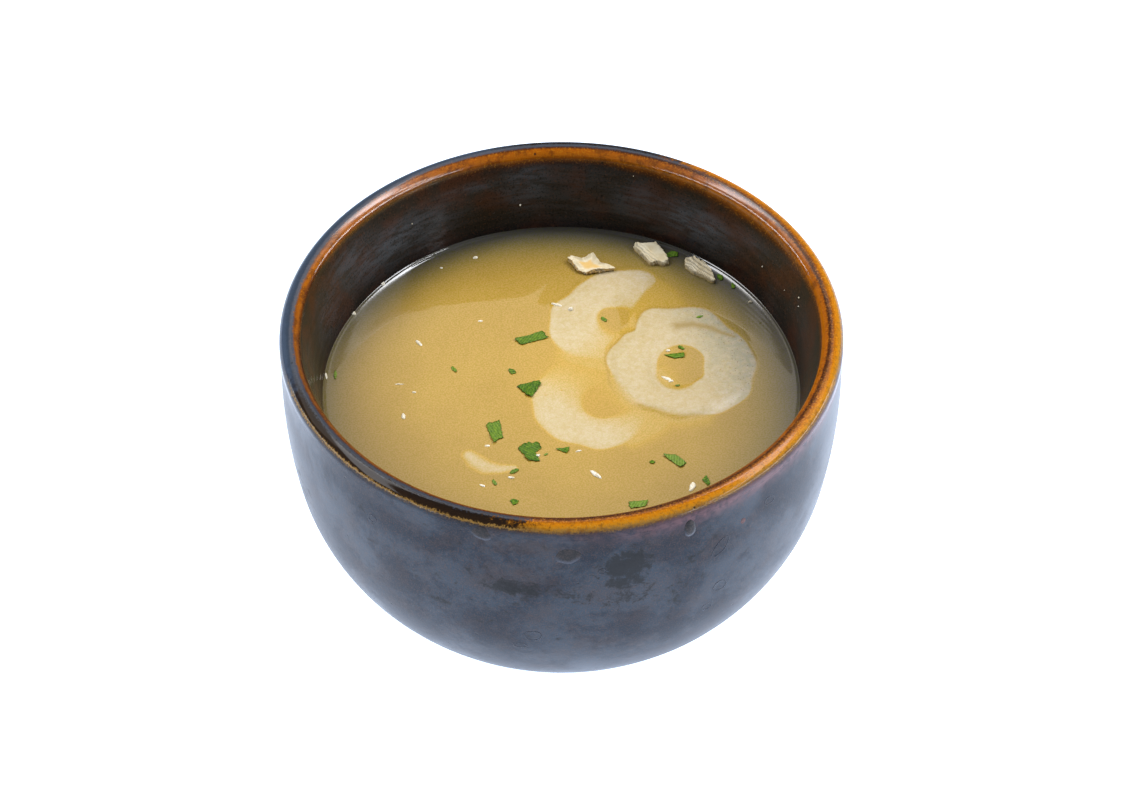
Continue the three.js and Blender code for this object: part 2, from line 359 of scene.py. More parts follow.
# Straight band under the lip, wall arc, belly arc, foot ring and the recess under it.
def outerOutline():
    b = bowl
    wallR, wallZ = b["rimRadius"] - b["wallArcRadius"], b["height"] - b["straightDepth"]
    sweep, apart = b["wallSweep"] * degree, b["wallArcRadius"] - b["bellyArcRadius"]
    bellyR, bellyZ = wallR + apart * np.cos(sweep), wallZ - apart * np.sin(sweep)
    bellyEnd = np.arccos((b["footRadius"] + b["footFillet"] - bellyR) / b["bellyArcRadius"]) / degree
    footInner, fillet = b["footRadius"] - b["footRingWidth"], b["footFillet"]
    levels = np.linspace(b["height"] - b["lipThickness"] / 2, wallZ, 17)[1:]
    straight = np.stack([np.full_like(levels, b["rimRadius"]), levels], -1)
    return np.concatenate([
        straight,
        arc(wallR, wallZ, b["wallArcRadius"], 0, -b["wallSweep"], 30)[1:],
        arc(bellyR, bellyZ, b["bellyArcRadius"], -b["wallSweep"], -bellyEnd, 70)[1:],
        arc(b["footRadius"] - fillet, fillet, fillet, 0, -90, 6),
        arc(footInner + fillet, fillet, fillet, -90, -180, 6),
        [
            [footInner - 1, b["recessDepth"]],
            [12, b["recessDepth"] + b["recessRise"] / 2],
            [1, b["recessDepth"] + b["recessRise"]],
        ],
    ])


# How far the outer wall stands back from its drawn outline: one to three times the unevenness, in slow dents.
def wallSlack(x, y, height):
    dents = softNoise(x + 0.4 * height, y - 0.3 * height, 11, 4)
    return bowl["unevenness"] * (2 + dents)


def makeBowl():
    b = bowl
    lipR = b["lipThickness"] / 2
    inner, outer = innerOutline(), outerOutline()
    lip = arc(b["rimRadius"] - lipR, b["height"] - lipR, lipR, 180, 0, 33)[1:]
    outline = np.concatenate([inner, lip, outer])
    crown = len(inner) + 15  # the row on top of the lip
    length = np.concatenate([[0], np.cumsum(np.hypot(*np.diff(outline, axis=0).T))])
    fromCrown = length - length[crown]  # negative inside the bowl, positive outside
    columns = b["segments"]
    angle = roundAngles(columns)
    radius = np.repeat(outline[:, :1], columns, 1)
    height = np.repeat(outline[:, 1:], columns, 1)
    along = np.repeat(fromCrown[:, None], columns, 1)
    turn = np.repeat(angle[None, :] / degree, len(outline), 0)
    x, y = radius * np.cos(angle), radius * np.sin(angle)
    # throwing marks inside: a slow spiral of ripples, sin(2 pi (along / pitch + turn))
    wander = b["throwingWander"] * np.sin(turn * degree * 3)
    spiral = np.sin(2 * np.pi * (along / b["throwingPitch"] + turn / 360) + wander)
    uneven = softNoise(x + 0.6 * height, y + 0.5 * height, 8, 6)
    onInside = smoothStep(-along, 5, 9) * smoothStep(height, 20, 45)
    onOutside = smoothStep(along, 4, 9) * smoothStep(height, 6, 16)
    ripple = b["throwingRipple"] * spiral * (1 + uneven) + b["unevenness"] * (1 + uneven)
    radius = radius + onInside * ripple
    radius = radius - onOutside * wallSlack(x, y, height)
    points = np.stack([radius * np.cos(angle), radius * np.sin(angle), height], -1).reshape(-1, 3)
    rows = len(outline)
    floorPoint, underPoint = [0, 0, b["floorHeight"]], [0, 0, b["recessDepth"] + b["recessRise"]]
    points = np.concatenate([points, [floorPoint, underPoint]])
    values = {"fromCrown": np.append(along.ravel(), [-80, 80])}
    for key, mask in glazeMasks(along, turn, height).items():
        values[key] = np.append(mask.ravel(), [0, 0])
    piece = makePiece("bowl_glazed", points, closedRows(rows, columns), values)
    finishPiece(piece, glazeMaterial(), "stoneware", "bowl")
    return piece


glaze = {
    # dark smudges on the outside: turn, height, half width along the wall and down it, strength
    "smudges": [
        (-77, 60.0, 6.0, 5.0, 1.0), (-77, 55.5, 5.5, 3.0, 0.85), (-76, 66, 1.6, 1.2, 0.6),
        (-99, 54.3, 9.0, 3.0, 0.8), (-106, 57, 4.0, 2.0, 0.5), (-88, 51.5, 6.0, 2.6, 0.55),
        (-76.5, 50.5, 6.0, 3.6, 0.6), (-66.5, 46.5, 2.6, 6.0, 0.5), (-115.4, 43.8, 2.6, 1.4, 0.75),
        (-134, 61.5, 4, 3, 0.35), (-91, 37.2, 4.5, 1.0, 0.5), (-92, 59, 4.0, 1.2, 0.35),
        (-64, 56, 5, 4, 0.35), (-128, 50, 8, 4, 0.2), (150, 50, 13, 6, 0.8), (60, 40, 15, 7, 0.7),
        (100, 58, 12, 5, 0.6), (10, 52, 10, 5, 0.5), (-160, 45, 9, 5, 0.4), (30, 60, 8, 3, 0.5),
        (120, 35, 9, 5, 0.5),
    ],
    # browner veils, given in the same way
    "veils": [
        (-100, 56.5, 11, 6, 0.7), (-78, 52, 14, 6, 0.5), (-98, 66.5, 16, 3.2, 0.6),
        (-70, 65, 9, 3, 0.45), (-126, 55, 9, 7, 0.3), (-92, 42, 20, 6, 0.3), (-150, 56, 8, 10, 0.25),
        (90, 55, 30, 8, 0.5), (170, 40, 16, 8, 0.4), (20, 45, 16, 7, 0.4),
    ],
    # painted sheen on the inside, grey patches that stand in for the glaze's reflection of the lights:
    # turn, millimetres down from the crown, half width along the wall and down it, strength
    "paintedSheens": [
        (134, 13.5, 17, 5.0, 0.95), (148, 9, 10, 4, 0.6), (162, 14, 10, 7, 0.35),
        (56, 13.0, 11, 4.5, 0.9), (40, 9, 6, 2, 0.35), (72, 12, 7, 5, 0.6), (98, 10, 6, 7, 0.7),
        (8, 12, 12, 6, 0.15), (185, 10, 10, 7, 0.2), (112, 8, 9, 1.2, 0.5), (90, 11, 16, 9, 0.28),
    ],
    "patchRadius": (59.0, 55.0),  # of the wall outside and inside, for turning degrees into millimetres
    "slate": (0.0048, 0.0096, 0.0188),
    "slatePale": (0.0128, 0.0238, 0.0396),
    "smudge": (0.0010, 0.0010, 0.0014),
    "veil": (0.0230, 0.0130, 0.0125),
    "rustGrain": (0.052, 0.028, 0.024),
    "blush": (0.100, 0.046, 0.052),
    "inside": (0.0150, 0.0118, 0.0100),
    "insideRed": (0.0360, 0.0130, 0.0070),
    "paintedSheen": (0.056, 0.066, 0.080),
    "insideGrain": (0.075, 0.030, 0.014),
    "insideDark": (0.004, 0.003, 0.003),
    "insidePale": (0.050, 0.046, 0.048),
    "amberBrown": (0.17, 0.055, 0.004),
    "amberDark": (0.12, 0.050, 0.008),
    "amberPale": (0.55, 0.300, 0.050),
    "innerDark": (0.060, 0.016, 0.002),
    "innerPale": (0.40, 0.150, 0.006),
    "pit": (0.004, 0.004, 0.005),
    "IOR": 1.24, "coatIOR": 1.60, "coatRoughness": 0.20,
}

# Colours across the lip, by millimetres outward from its crown.
lipColours = {
    "amber": [
        (-1.0, (0.030, 0.010, 0.004)), (-0.35, (0.090, 0.027, 0.006)), (0.15, (0.27, 0.078, 0.003)),
        (0.8, (0.44, 0.150, 0.003)), (1.5, (0.40, 0.160, 0.007)), (2.1, (0.24, 0.120, 0.022)),
        (2.7, (0.115, 0.065, 0.030)), (3.3, (0.045, 0.028, 0.026)),
    ],
    # nearly black glaze; its blue-grey stops at the crown are a painted reflection, and its golden stop at
    # the outer edge is partly amber glaze and partly a painted highlight
    "dark": [
        (-1.0, (0.055, 0.018, 0.003)), (-0.4, (0.036, 0.044, 0.060)), (0.1, (0.030, 0.034, 0.044)),
        (0.5, (0.010, 0.006, 0.004)), (1.95, (0.018, 0.009, 0.004)), (2.3, (0.250, 0.140, 0.036)),
        (2.65, (0.070, 0.046, 0.028)), (3.4, (0.018, 0.018, 0.022)),
    ],
    # slate glaze; its paler blue-grey stops over the crown are a painted reflection of the lights
    "slate": [
        (-1.0, (0.220, 0.075, 0.008)), (-0.6, (0.060, 0.062, 0.078)), (0.4, (0.030, 0.042, 0.062)),
        (1.6, (0.042, 0.060, 0.092)), (2.6, (0.030, 0.040, 0.060)), (3.4, (0.030, 0.014, 0.008)),
        (4.2, (0.020, 0.024, 0.032)),
    ],
    # and by millimetres inward from it
    "inner": [
        (0.0, (0.020, 0.008, 0.003)), (0.7, (0.070, 0.017, 0.001)), (1.2, (0.28, 0.072, 0.001)),
        (2.4, (0.31, 0.086, 0.001)), (3.1, (0.16, 0.042, 0.003)), (3.9, (0.060, 0.018, 0.004)),
        (5.0, (0.014, 0.006, 0.003)),
    ],
}


# Strengths of soft oval patches given by turn, level, half width along the wall and down it, and strength:
# strength * exp(-((across / half width)^2 + (up / half height)^2)^1.4).
def patchesAt(patches, a, level, radius):
    shown = np.zeros_like(a)
    for where, middle, wide, tall, strength in patches:
        across = turnBetween(a, where) * degree * radius
        away = (across / wide) ** 2 + ((level - middle) / tall) ** 2
        shown = np.maximum(shown, strength * np.exp(-away ** 1.4))
    return shown


# Masks over the bowl from how far a point is from the lip's crown, and where round the bowl it is.
def glazeMasks(along, turn, height):
    a = turnBetween(turn, 0)  # from -180 to 180, the front is at -90
    front = turnBetween(a, -90)
    # the outside of the lip is amber from the front round to the right, and nearly black on the left
    amberSide = smoothStep(front, -20, 6) * (1 - smoothStep(front, 130, 175))
    amberSide = amberSide + 0.14 * np.exp(-((front + 17) / 6) ** 2)
    # the left and the back carry slate, with a painted blue-grey reflection, over the outer half of the lip,
    # and only a narrow amber band inside it
    slateSheenSide = smoothStep(np.cos((a - 150) * degree), 0.45, 0.90)
    innerSide = 0.45 + 0.55 * smoothStep(np.cos((a - 70) * degree), -0.75, 0.1)
    # clear glaze pooled on the inner lip, at the back left and the back right
    shine = np.maximum(bellAt(a, 132, 24), bellAt(a, 48, 28))
    shine = shine * smoothStep(-along, 0.5, 1.4) * (1 - smoothStep(-along, 3.4, 4.8))
    innerReach = 1 + 0.30 * bellAt(a, 42, 34) - 0.40 * bellAt(a, 190, 48)
    innerReach = innerReach + 0.12 * roundNoise(a, 9, 11) + 0.06 * roundNoise(a, 3, 12)
    blush = np.exp(-((along - 4.4) / 2.2) ** 2) * smoothStep(np.cos((a + 44) * degree), 0.72, 0.97)
    blush = np.maximum(blush, 0.42 * np.exp(-((along - 3.8) / 1.5) ** 2) * smoothStep(front, -14, 20))
    outside = smoothStep(along, 0.5, 1.5)
    outerRadius, innerRadius = glaze["patchRadius"]
    return {
        "amberSide": amberSide, "slateSheenSide": slateSheenSide, "innerSide": innerSide, "innerReach": innerReach,
        "blush": blush * outside,
        "smudge": patchesAt(glaze["smudges"], a, height, outerRadius) * outside,
        "veil": patchesAt(glaze["veils"], a, height, outerRadius) * outside,
        "paintedSheen": patchesAt(glaze["paintedSheens"], a, -along, innerRadius) * (1 - outside),
        "inside": 1 - smoothStep(along, -0.6, 0.3), "shine": shine,
    }


def glazeMaterial():
    g = glaze
    material, tree, shader = newMaterial("fired_glaze")
    place = put(tree, "ShaderNodeTexCoord").outputs["Object"]
    levelled = put(tree, "ShaderNodeMapping", None, {"Vector": place, "Scale": (1.0, 1.0, 5.0)}).outputs[0]
    fine = noiseOf(tree, place, 0.40, 2)
    medium = noiseOf(tree, place, 1.5, 4, 0.6)
    brushed = noiseOf(tree, place, 2.6, 7, 0.68, 0.6)
    streaks = noiseOf(tree, levelled, 5.0, 5, 0.6, 0.4)
    coarse = cloudsOf(tree, place, 17.0, 0.34, 0.68)
    fromCrown = valueOf(tree, "fromCrown")
    # outside: slate blue in paler and darker clouds, browner veils, rust grain, ragged dark smudges
    clouded = shaken(tree, shaken(tree, coarse, brushed, 1.2), medium, 0.8)
    outside = mixColour(tree, clouded, g["slate"], g["slatePale"])
    outside = tinted(tree, outside, g["veil"], noiseOf(tree, place, 6.0, 5, 0.6), 0.46, 0.68, 0.5)
    veil = shaken(tree, valueOf(tree, "veil"), brushed, 1.6)
    outside = tinted(tree, outside, g["veil"], veil, 0.15, 0.9, 0.8)
    outside = tinted(tree, outside, g["rustGrain"], noiseOf(tree, place, 0.30, 1), 0.48, 0.70, 0.60)
    outside = tinted(tree, outside, g["smudge"], shaken(tree, brushed, fine, 0.2), 0.55, 0.70, 0.7)
    smudge = shaken(tree, shaken(tree, valueOf(tree, "smudge"), brushed, 2.2), medium, 0.9)
    smudge = stepOf(tree, shaken(tree, smudge, fine, 0.5), 0.28, 0.80, 0, 0.92)
    outside = mixColour(tree, smudge, outside, g["smudge"])
    blush = times(tree, valueOf(tree, "blush"), stepOf(tree, medium, 0.30, 0.62, 0.25, 1.0))
    outside = mixColour(tree, blush, outside, g["blush"])
    # inside: nearly black brown, redder in clouds, with a painted grey sheen in level streaks and a fine rust
    # grain
    inside = mixColour(tree, cloudsOf(tree, place, 9.0, 0.42, 0.66), g["inside"], g["insideRed"])
    inside = tinted(tree, inside, g["insideRed"], streaks, 0.56, 0.72, 0.45)
    # painted reflection: grey sheen patches in level streaks on the inner wall
    paintedSheen = times(tree, valueOf(tree, "paintedSheen"), stepOf(tree, streaks, 0.34, 0.62, 0.25, 1.0))
    inside = mixColour(tree, paintedSheen, inside, g["paintedSheen"])
    inside = tinted(tree, inside, g["insideGrain"], fine, 0.56, 0.72, 0.45)
    inside = tinted(tree, inside, g["insideDark"], fine, 0.44, 0.32, 0.60)
    inside = tinted(tree, inside, g["insidePale"], noiseOf(tree, place, 0.9, 2), 0.66, 0.78, 0.5)
    colour = mixColour(tree, valueOf(tree, "inside"), outside, inside)
    # the lip, by distance from its crown, with a speckled edge
    distance = shaken(tree, shaken(tree, fromCrown, fine, 1.5), medium, 1.1)
    amber = rampOf(tree, distance, lipColours["amber"])
    amber = tinted(tree, amber, g["amberBrown"], medium, 0.52, 0.68, 0.5)
    amber = tinted(tree, amber, g["amberDark"], noiseOf(tree, place, 0.7, 3, 0.7), 0.52, 0.66, 0.55)
    amber = tinted(tree, amber, g["amberPale"], fine, 0.58, 0.72, 0.28)
    amberSide = shaken(tree, shaken(tree, valueOf(tree, "amberSide"), medium, 0.9), fine, 0.5)
    # the dark ramp carries a painted reflection at the crown and a painted highlight along its golden outer
    # edge
    outerLip = tinted(tree, rampOf(tree, distance, lipColours["dark"]), amber, amberSide, 0.30, 0.72)
    slateSheenSide = shaken(tree, valueOf(tree, "slateSheenSide"), medium, 0.7)
    # painted reflection: the slate ramp lays a blue-grey sheen over the crown
    outerLip = tinted(tree, outerLip, rampOf(tree, distance, lipColours["slate"]), slateSheenSide, 0.25, 0.75)
    offInside = stepOf(tree, fromCrown, -1.2, -0.5)
    onOuterLip = times(tree, stepOf(tree, distance, 2.4, 3.5, 1.0, 0.0), offInside)
    colour = mixColour(tree, onOuterLip, colour, outerLip)
    inward = maths(tree, "DIVIDE", times(tree, fromCrown, -1.0), valueOf(tree, "innerReach"))
    inward = shaken(tree, shaken(tree, inward, fine, 0.9), medium, 0.7)
    innerLip = rampOf(tree, inward, lipColours["inner"])
    innerLip = tinted(tree, innerLip, g["innerDark"], noiseOf(tree, place, 3.0, 6, 0.7), 0.46, 0.62, 0.60)
    innerLip = tinted(tree, innerLip, g["innerPale"], fine, 0.52, 0.70, 0.45)
    onInside = stepOf(tree, fromCrown, -1.2, -0.5, 1.0, 0.0)
    onInnerLip = times(tree, stepOf(tree, inward, 3.2, 5.2, 1.0, 0.0), onInside)
    colour = mixColour(tree, times(tree, onInnerLip, valueOf(tree, "innerSide")), colour, innerLip)
    pits = specksOf(tree, place, 3.0, 0.14, 0.13)
    colour = painted(tree, colour, g["pit"], pits, 0.85)
    tree.links.new(colour, shader.inputs["Base Color"])
    # glossy on the lip, a little duller on the walls and in the smudges
    offCrown = maths(tree, "ABSOLUTE", fromCrown)
    dull = times(tree, plus(tree, 0.07, times(tree, smudge, 0.10)), stepOf(tree, offCrown, 3.0, 6.0))
    dull = plus(tree, dull, stepOf(tree, fromCrown, 3.2, 5.5, 0.0, 0.19))
    roughness = plus(tree, plus(tree, dull, 0.05), times(tree, medium, 0.06))
    tree.links.new(roughness, shader.inputs["Roughness"])
    # skin: orange peel, grain and pits, smoother on the lip
    height = shaken(tree, times(tree, noiseOf(tree, place, 1.3, 2), 0.5), fine, 0.16)
    height = maths(tree, "SUBTRACT", height, times(tree, pits, 1.4))
    height = times(tree, height, stepOf(tree, offCrown, 2.2, 4.2, 0.25, 1.0))
    tree.links.new(bumpOf(tree, height, 0.05, 0.6), shader.inputs["Normal"])
    shader.inputs["IOR"].default_value = g["IOR"]
    # the clear glaze is thick where it pooled on the inner lip, and thin and patchy on the wall outside
    patchy = shaken(tree, shaken(tree, medium, coarse, 0.6), fine, 0.9)
    patchy = stepOf(tree, patchy, 0.25, 0.75, 0.0, 0.16)
    patchy = times(tree, patchy, stepOf(tree, smudge, 0.0, 1.0, 1.0, 0.5))
    wallCoat = times(tree, stepOf(tree, fromCrown, 2.5, 3.7), patchy)
    tree.links.new(plus(tree, valueOf(tree, "shine"), wallCoat, clamp=True), shader.inputs["Coat Weight"])
    shader.inputs["Coat IOR"].default_value = g["coatIOR"]
    shader.inputs["Coat Roughness"].default_value = g["coatRoughness"]
    return material


bowlPiece = makeBowl()
print("bowl made:", len(bowlPiece.data.polygons), "faces")

# Drops and marks on the outer wall: turn, height, width, height of the mark, tilt in degrees,
# how far it stands out
wallMarks = {
    "drops": [
        (-64.0, 66.6, 2.6, 5.4, 4, 0.40), (-105.8, 69.0, 4.7, 3.7, -14, 0.16),
        (-88.8, 64.6, 5.2, 4.6, 12, 0.05),
    ],
    "stains": [
        (-57.5, 69.2, 3.4, 2.6, 20, 0.03), (-51.2, 61.2, 1.4, 1.6, 30, 0.03),
        (-116.0, 67.4, 1.6, 1.2, 0, 0.03), (150, 62, 4, 3, 15, 0.05),
    ],
    "outlines": [
        (-56.7, 56.9, 2.9, 5.6, -38, 0.05), (-55.8, 43.6, 3.4, 3.0, -30, 0.04),
        (-58.2, 37.8, 2.4, 2.0, 10, 0.03), (-96.0, 37.9, 3.6, 3.4, 10, 0.04),
        (-98.8, 33.6, 2.8, 1.8, 0, 0.03), (-82.0, 59.4, 1.5, 1.5, 0, 0.03),
        (-131, 60.4, 2.2, 1.8, 30, 0.03), (-44, 62, 3.0, 2.2, -20, 0.03), (70, 50, 4, 3, 25, 0.04),
        (170, 55, 3, 4, 0, 0.04),
    ],
    "lineWidth": 0.24,  # of an outline
    "over": 0.006, "under": 0.10,  # how far a drop's rim stands over the glaze, and its underside lies in it
    "dropDark": (0.004, 0.0035, 0.004),
    "dropPale": (0.022, 0.014, 0.012),
    "dropLit": (0.075, 0.085, 0.115),
    "stainDark": (0.045, 0.020, 0.020),
    "stainPale": (0.110, 0.040, 0.034),
    "outline": (0.014, 0.016, 0.024),
    "IOR": 1.27,
}


# Places on the outer wall, a given height over its glaze, at distances round it and up it from one point.
def onWall(turn, height, around, up, over):
    outline = outerOutline()[::-1]
    level = height + up
    radius = np.interp(level, outline[:, 1], outline[:, 0])
    a = turn * degree + around / radius
    radius = radius - wallSlack(radius * np.cos(a), radius * np.sin(a), level) + over
    return np.stack([radius * np.cos(a), radius * np.sin(a), level], -1)


def tilted(x, y, tilt):
    c, s = np.cos(tilt * degree), np.sin(tilt * degree)
    return x * c - y * s, x * s + y * c


# A dried or hanging drop: a low dome over an oval, height = rise * (1 - share^2)^0.6,
# with a rounded lower end.
def wallDrop(turn, height, width, tall, tilt, rise, kind, seed, rows=14, columns=48):
    angle = roundAngles(columns)
    share = np.sin(np.arange(1, rows + 1) / rows * np.pi / 2)[:, None]
    uneven = 1 + 0.06 * softNoise(np.cos(angle) * 2 + seed, np.sin(angle) * 2, 1, seed)
    x = share * width / 2 * uneven * np.cos(angle) * (1 - 0.16 * np.sin(angle))
    y = share * tall / 2 * uneven * np.sin(angle)
    x, y = tilted(x, y, tilt)
    dome = np.maximum(1 - share ** 2, 0) ** 0.6 + 0 * x
    over, under = wallMarks["over"], -wallMarks["under"]
    upper = onWall(turn, height, x, y, over + rise * dome).reshape(-1, 3)
    lower = onWall(turn, height, x, y, under * dome)[:-1].reshape(-1, 3)
    middles = onWall(turn, height, np.zeros(2), np.zeros(2), np.array([rise + over, under]))
    points = np.concatenate([upper, lower, middles])
    values = {
        "rimShare": discValues(share + 0 * x), "lowSide": discValues(y / tall),
        "kind": np.full(len(points), kind),
    }
    return points, discFaces(rows, columns), values


# The edge that a dried drop leaves: a thin low ridge along an uneven oval.
def wallOutline(turn, height, width, tall, tilt, rise, kind, seed, section=8, columns=72):
    angle = roundAngles(columns)[None, :]
    around = roundAngles(section)[:, None]
    uneven = 1 + 0.09 * softNoise(np.cos(angle) * 2 + seed, np.sin(angle) * 2, 1, seed)
    swelling = 1 + 0.5 * softNoise(np.cos(angle) * 5, np.sin(angle) * 5 + seed, 1, seed + 1)
    line = wallMarks["lineWidth"] / 2 * swelling
    x = (width / 2 * uneven + line * np.cos(around)) * np.cos(angle)
    y = (tall / 2 * uneven + line * np.cos(around)) * np.sin(angle)
    x, y = tilted(x, y, tilt)
    points = onWall(turn, height, x, y, rise * np.sin(around) + 0 * x).reshape(-1, 3)
    zeros = np.zeros(len(points))
    values = {"rimShare": zeros, "lowSide": zeros, "kind": np.full(len(points), kind)}
    return points, [tubeQuads(section, columns)], values


def markMaterial():
    w = wallMarks
    material, tree, shader = newMaterial("dried_drops")
    place = put(tree, "ShaderNodeTexCoord").outputs["Object"]
    mottled = noiseOf(tree, place, 0.8, 4, 0.6)
    kind = valueOf(tree, "kind")
    colour = mixColour(tree, stepOf(tree, mottled, 0.35, 0.65), w["dropDark"], w["dropPale"])
    # a drop is paler along its lower rim, where light leaves it
    lowSide = stepOf(tree, valueOf(tree, "lowSide"), 0.1, -0.4)
    lit = times(tree, stepOf(tree, valueOf(tree, "rimShare"), 0.45, 0.95), lowSide)
    colour = painted(tree, colour, w["dropLit"], lit, 0.55)
    stain = mixColour(tree, stepOf(tree, mottled, 0.35, 0.7), w["stainDark"], w["stainPale"])
    colour = tinted(tree, colour, stain, kind, 0.5, 1.0)
    colour = tinted(tree, colour, w["outline"], kind, 1.5, 2.0)
    tree.links.new(colour, shader.inputs["Base Color"])
    tree.links.new(stepOf(tree, mottled, 0.3, 0.7, 0.14, 0.30), shader.inputs["Roughness"])
    tree.links.new(bumpOf(tree, mottled, 0.02, 0.4), shader.inputs["Normal"])
    shader.inputs["IOR"].default_value = w["IOR"]
    return material


marks = [wallDrop(*mark, 0.0, 400 + i) for i, mark in enumerate(wallMarks["drops"])]
marks += [wallDrop(*mark, 1.0, 420 + i) for i, mark in enumerate(wallMarks["stains"])]
marks += [wallOutline(*mark, 2.0, 440 + i) for i, mark in enumerate(wallMarks["outlines"])]
markPiece = joinParts("wall_drops", marks)
finishPiece(markPiece, markMaterial(), "stoneware")
print("wall drops made:", len(markPiece.data.polygons), "faces")

soupLevel = 53.1

rings = {
    "front": {
        "centre": (26, 7), "top": 0.7, "thickness": 4.4, "middleRadius": 11.1, "halfWidth": 5.2,
        "dip": (60, -10, 0.018),  # towards this turn, from this distance, by this slope
        "outer": [(82, 20, 3.2), (112, 12, 2.8), (131, 6, -1.2)],  # turn, width in degrees, millimetres added
        "inner": [(90, 40, 1), (250, 34, 0.9), (305, 22, -0.6), (0, 30, -1.2), (180, 30, -0.6)],
        "fade": 4.0,  # depth over which it fades to a third, where it is sunk
        "softSide": (-122, 0.36),  # the side with a blurred edge, and how blurred
        "hollow": (37.5, 22.0, 5.2, 1.1),  # place, reach and depth of the part that the soup covers
    },
    "back": {
        "centre": (12, 23), "top": 0.5, "thickness": 4.2, "middleRadius": 9.8, "halfWidth": 5.8,
        "dip": (-40, -5, 0.42),
        "outer": [(138, 40, -3.0), (-118, 30, 1.6)],
        "inner": [(90, 50, -1.4), (-90, 50, 1.2)],
        "fade": 5.0,
        "softSide": (-90, 0.22),
        "hollow": (22.0, 34.0, 5.0, 0.5),
    },
}
ringSquareness = 0.78
dipRounding = 4.0
# Where a fold crosses the front ring, and where the back ring's near side is cut off.
foldLine = [(25.4, 19.6), (28.6, 20.1), (32.4, 19.3), (34.5, 17.9), (37.6, 16.5)]
cutLine = [(9.5, 13.0), (12.4, 17.9), (14.4, 20.2), (14.9, 24.6), (16.9, 28.1), (18.5, 30.9), (20.8, 34.1)]


def bumpsAt(bumps, turn):
    return sum((add * bellAt(turn, at, width) for at, width, add in bumps), np.zeros_like(turn))


def scallopAt(turn):
    return 0.25 * np.sin(7 * turn * degree) + 0.2 * np.sin(11 * turn * degree + 1)


# How far a ring lies lower at places counted from its middle: its dip to one side,
# and the hollow that soup covers.
def sagAt(ring, x, y):
    towards, start, slope = ring["dip"]
    along = x * np.cos(towards * degree) + y * np.sin(towards * degree) - start
    sag = slope * (np.hypot(along, dipRounding) + along) / 2
    if "hollow" in ring:
        atX, atY, reach, depth = ring["hollow"]
        away = np.hypot(x + ring["centre"][0] - atX, y + ring["centre"][1] - atY)
        sag = sag + depth * np.exp(-(away / reach) ** 2)
    return sag


# A cosine or sine pulled towards a square: sign(v) * |v| ** squareness.
def squarish(v):
    return np.sign(v) * np.abs(v) ** ringSquareness


# A soft ring. Its section is a squarish oval: across = middle + half width * squarish(cos),
# height = thickness / 2 * squarish(sin). The outline then moves in and out by its bumps,
# and the ring dips to one side.
def ringPoints(ring, around, section):
    half = ring["thickness"] / 2
    turn = np.arange(around)[None, :] / around * 360
    angle = roundAngles(section)[:, None]
    share = (squarish(np.cos(angle)) + 1) / 2 + 0 * turn
    turn = turn + 0 * angle
    outer = bumpsAt(ring["outer"], turn) + scallopAt(turn)
    shift = share * outer + (1 - share) * bumpsAt(ring["inner"], turn)
    reach = ring["middleRadius"] + ring["halfWidth"] * (2 * share - 1) + shift
    x, y = reach * np.cos(turn * degree), reach * np.sin(turn * degree)
    z = half * squarish(np.sin(angle)) + ring["top"] - half - sagAt(ring, x, y)
    return x + ring["centre"][0], y + ring["centre"][1], z


# Height of a ring's top over the soup at places (x, y), and how far across it they are,
# from -1 inside to 1 outside.
def ringTopAt(ring, x, y):
    half = ring["thickness"] / 2
    dx, dy = x - ring["centre"][0], y - ring["centre"][1]
    turn, reach = np.arctan2(dy, dx) / degree, np.hypot(dx, dy)
    outside = ring["middleRadius"] + ring["halfWidth"] + bumpsAt(ring["outer"], turn) + scallopAt(turn)
    inside = ring["middleRadius"] - ring["halfWidth"] + bumpsAt(ring["inner"], turn)
    across = (2 * reach - outside - inside) / (outside - inside)
    rise = np.clip(1 - np.abs(across) ** (2 / ringSquareness), 0, 1) ** (ringSquareness / 2)
    return ring["top"] - half + half * rise - sagAt(ring, dx, dy), across


bread = {
    "around": 320, "section": 110,
    "relief": 0.06,  # height of the bread's own unevenness
    "cream": (0.508, 0.392, 0.184),
    "creamPale": (0.552, 0.452, 0.262),
    "fibre": (0.585, 0.510, 0.345),
    "grey": (0.360, 0.335, 0.200),
    "gold": (0.460, 0.290, 0.070),
    "brown": (0.250, 0.150, 0.060),
    # painted shade for the fold in the front ring
    "creaseShade": (0.330, 0.225, 0.060),
    "IOR": 1.34,
}


def makeRing(name, ring, node, material, seed):
    x, y, z = ringPoints(ring, bread["around"], bread["section"])
    # the relief dies away towards the waterline, so that the soup meets the bread in a clean line
    top = smoothStep(z, 0.04, 0.5)
    relief = softNoise(x, y, 2.4, seed) + 0.6 * softNoise(x, y, 0.9, seed + 1)
    relief = relief + 0.4 * softNoise(x + z, y - z, 0.45, seed + 2)
    z = z + bread["relief"] * (relief - 0.6) * top
    points = np.stack([x, y, z + soupLevel], -1).reshape(-1, 3)
    values = {"height": z.ravel()}
    values.update({key: mask.ravel() for key, mask in soupMasks(x, y).items()})
    piece = makePiece(name, points, [tubeQuads(bread["section"], bread["around"])], values)
    finishPiece(piece, material, "gluten", node)
    return piece


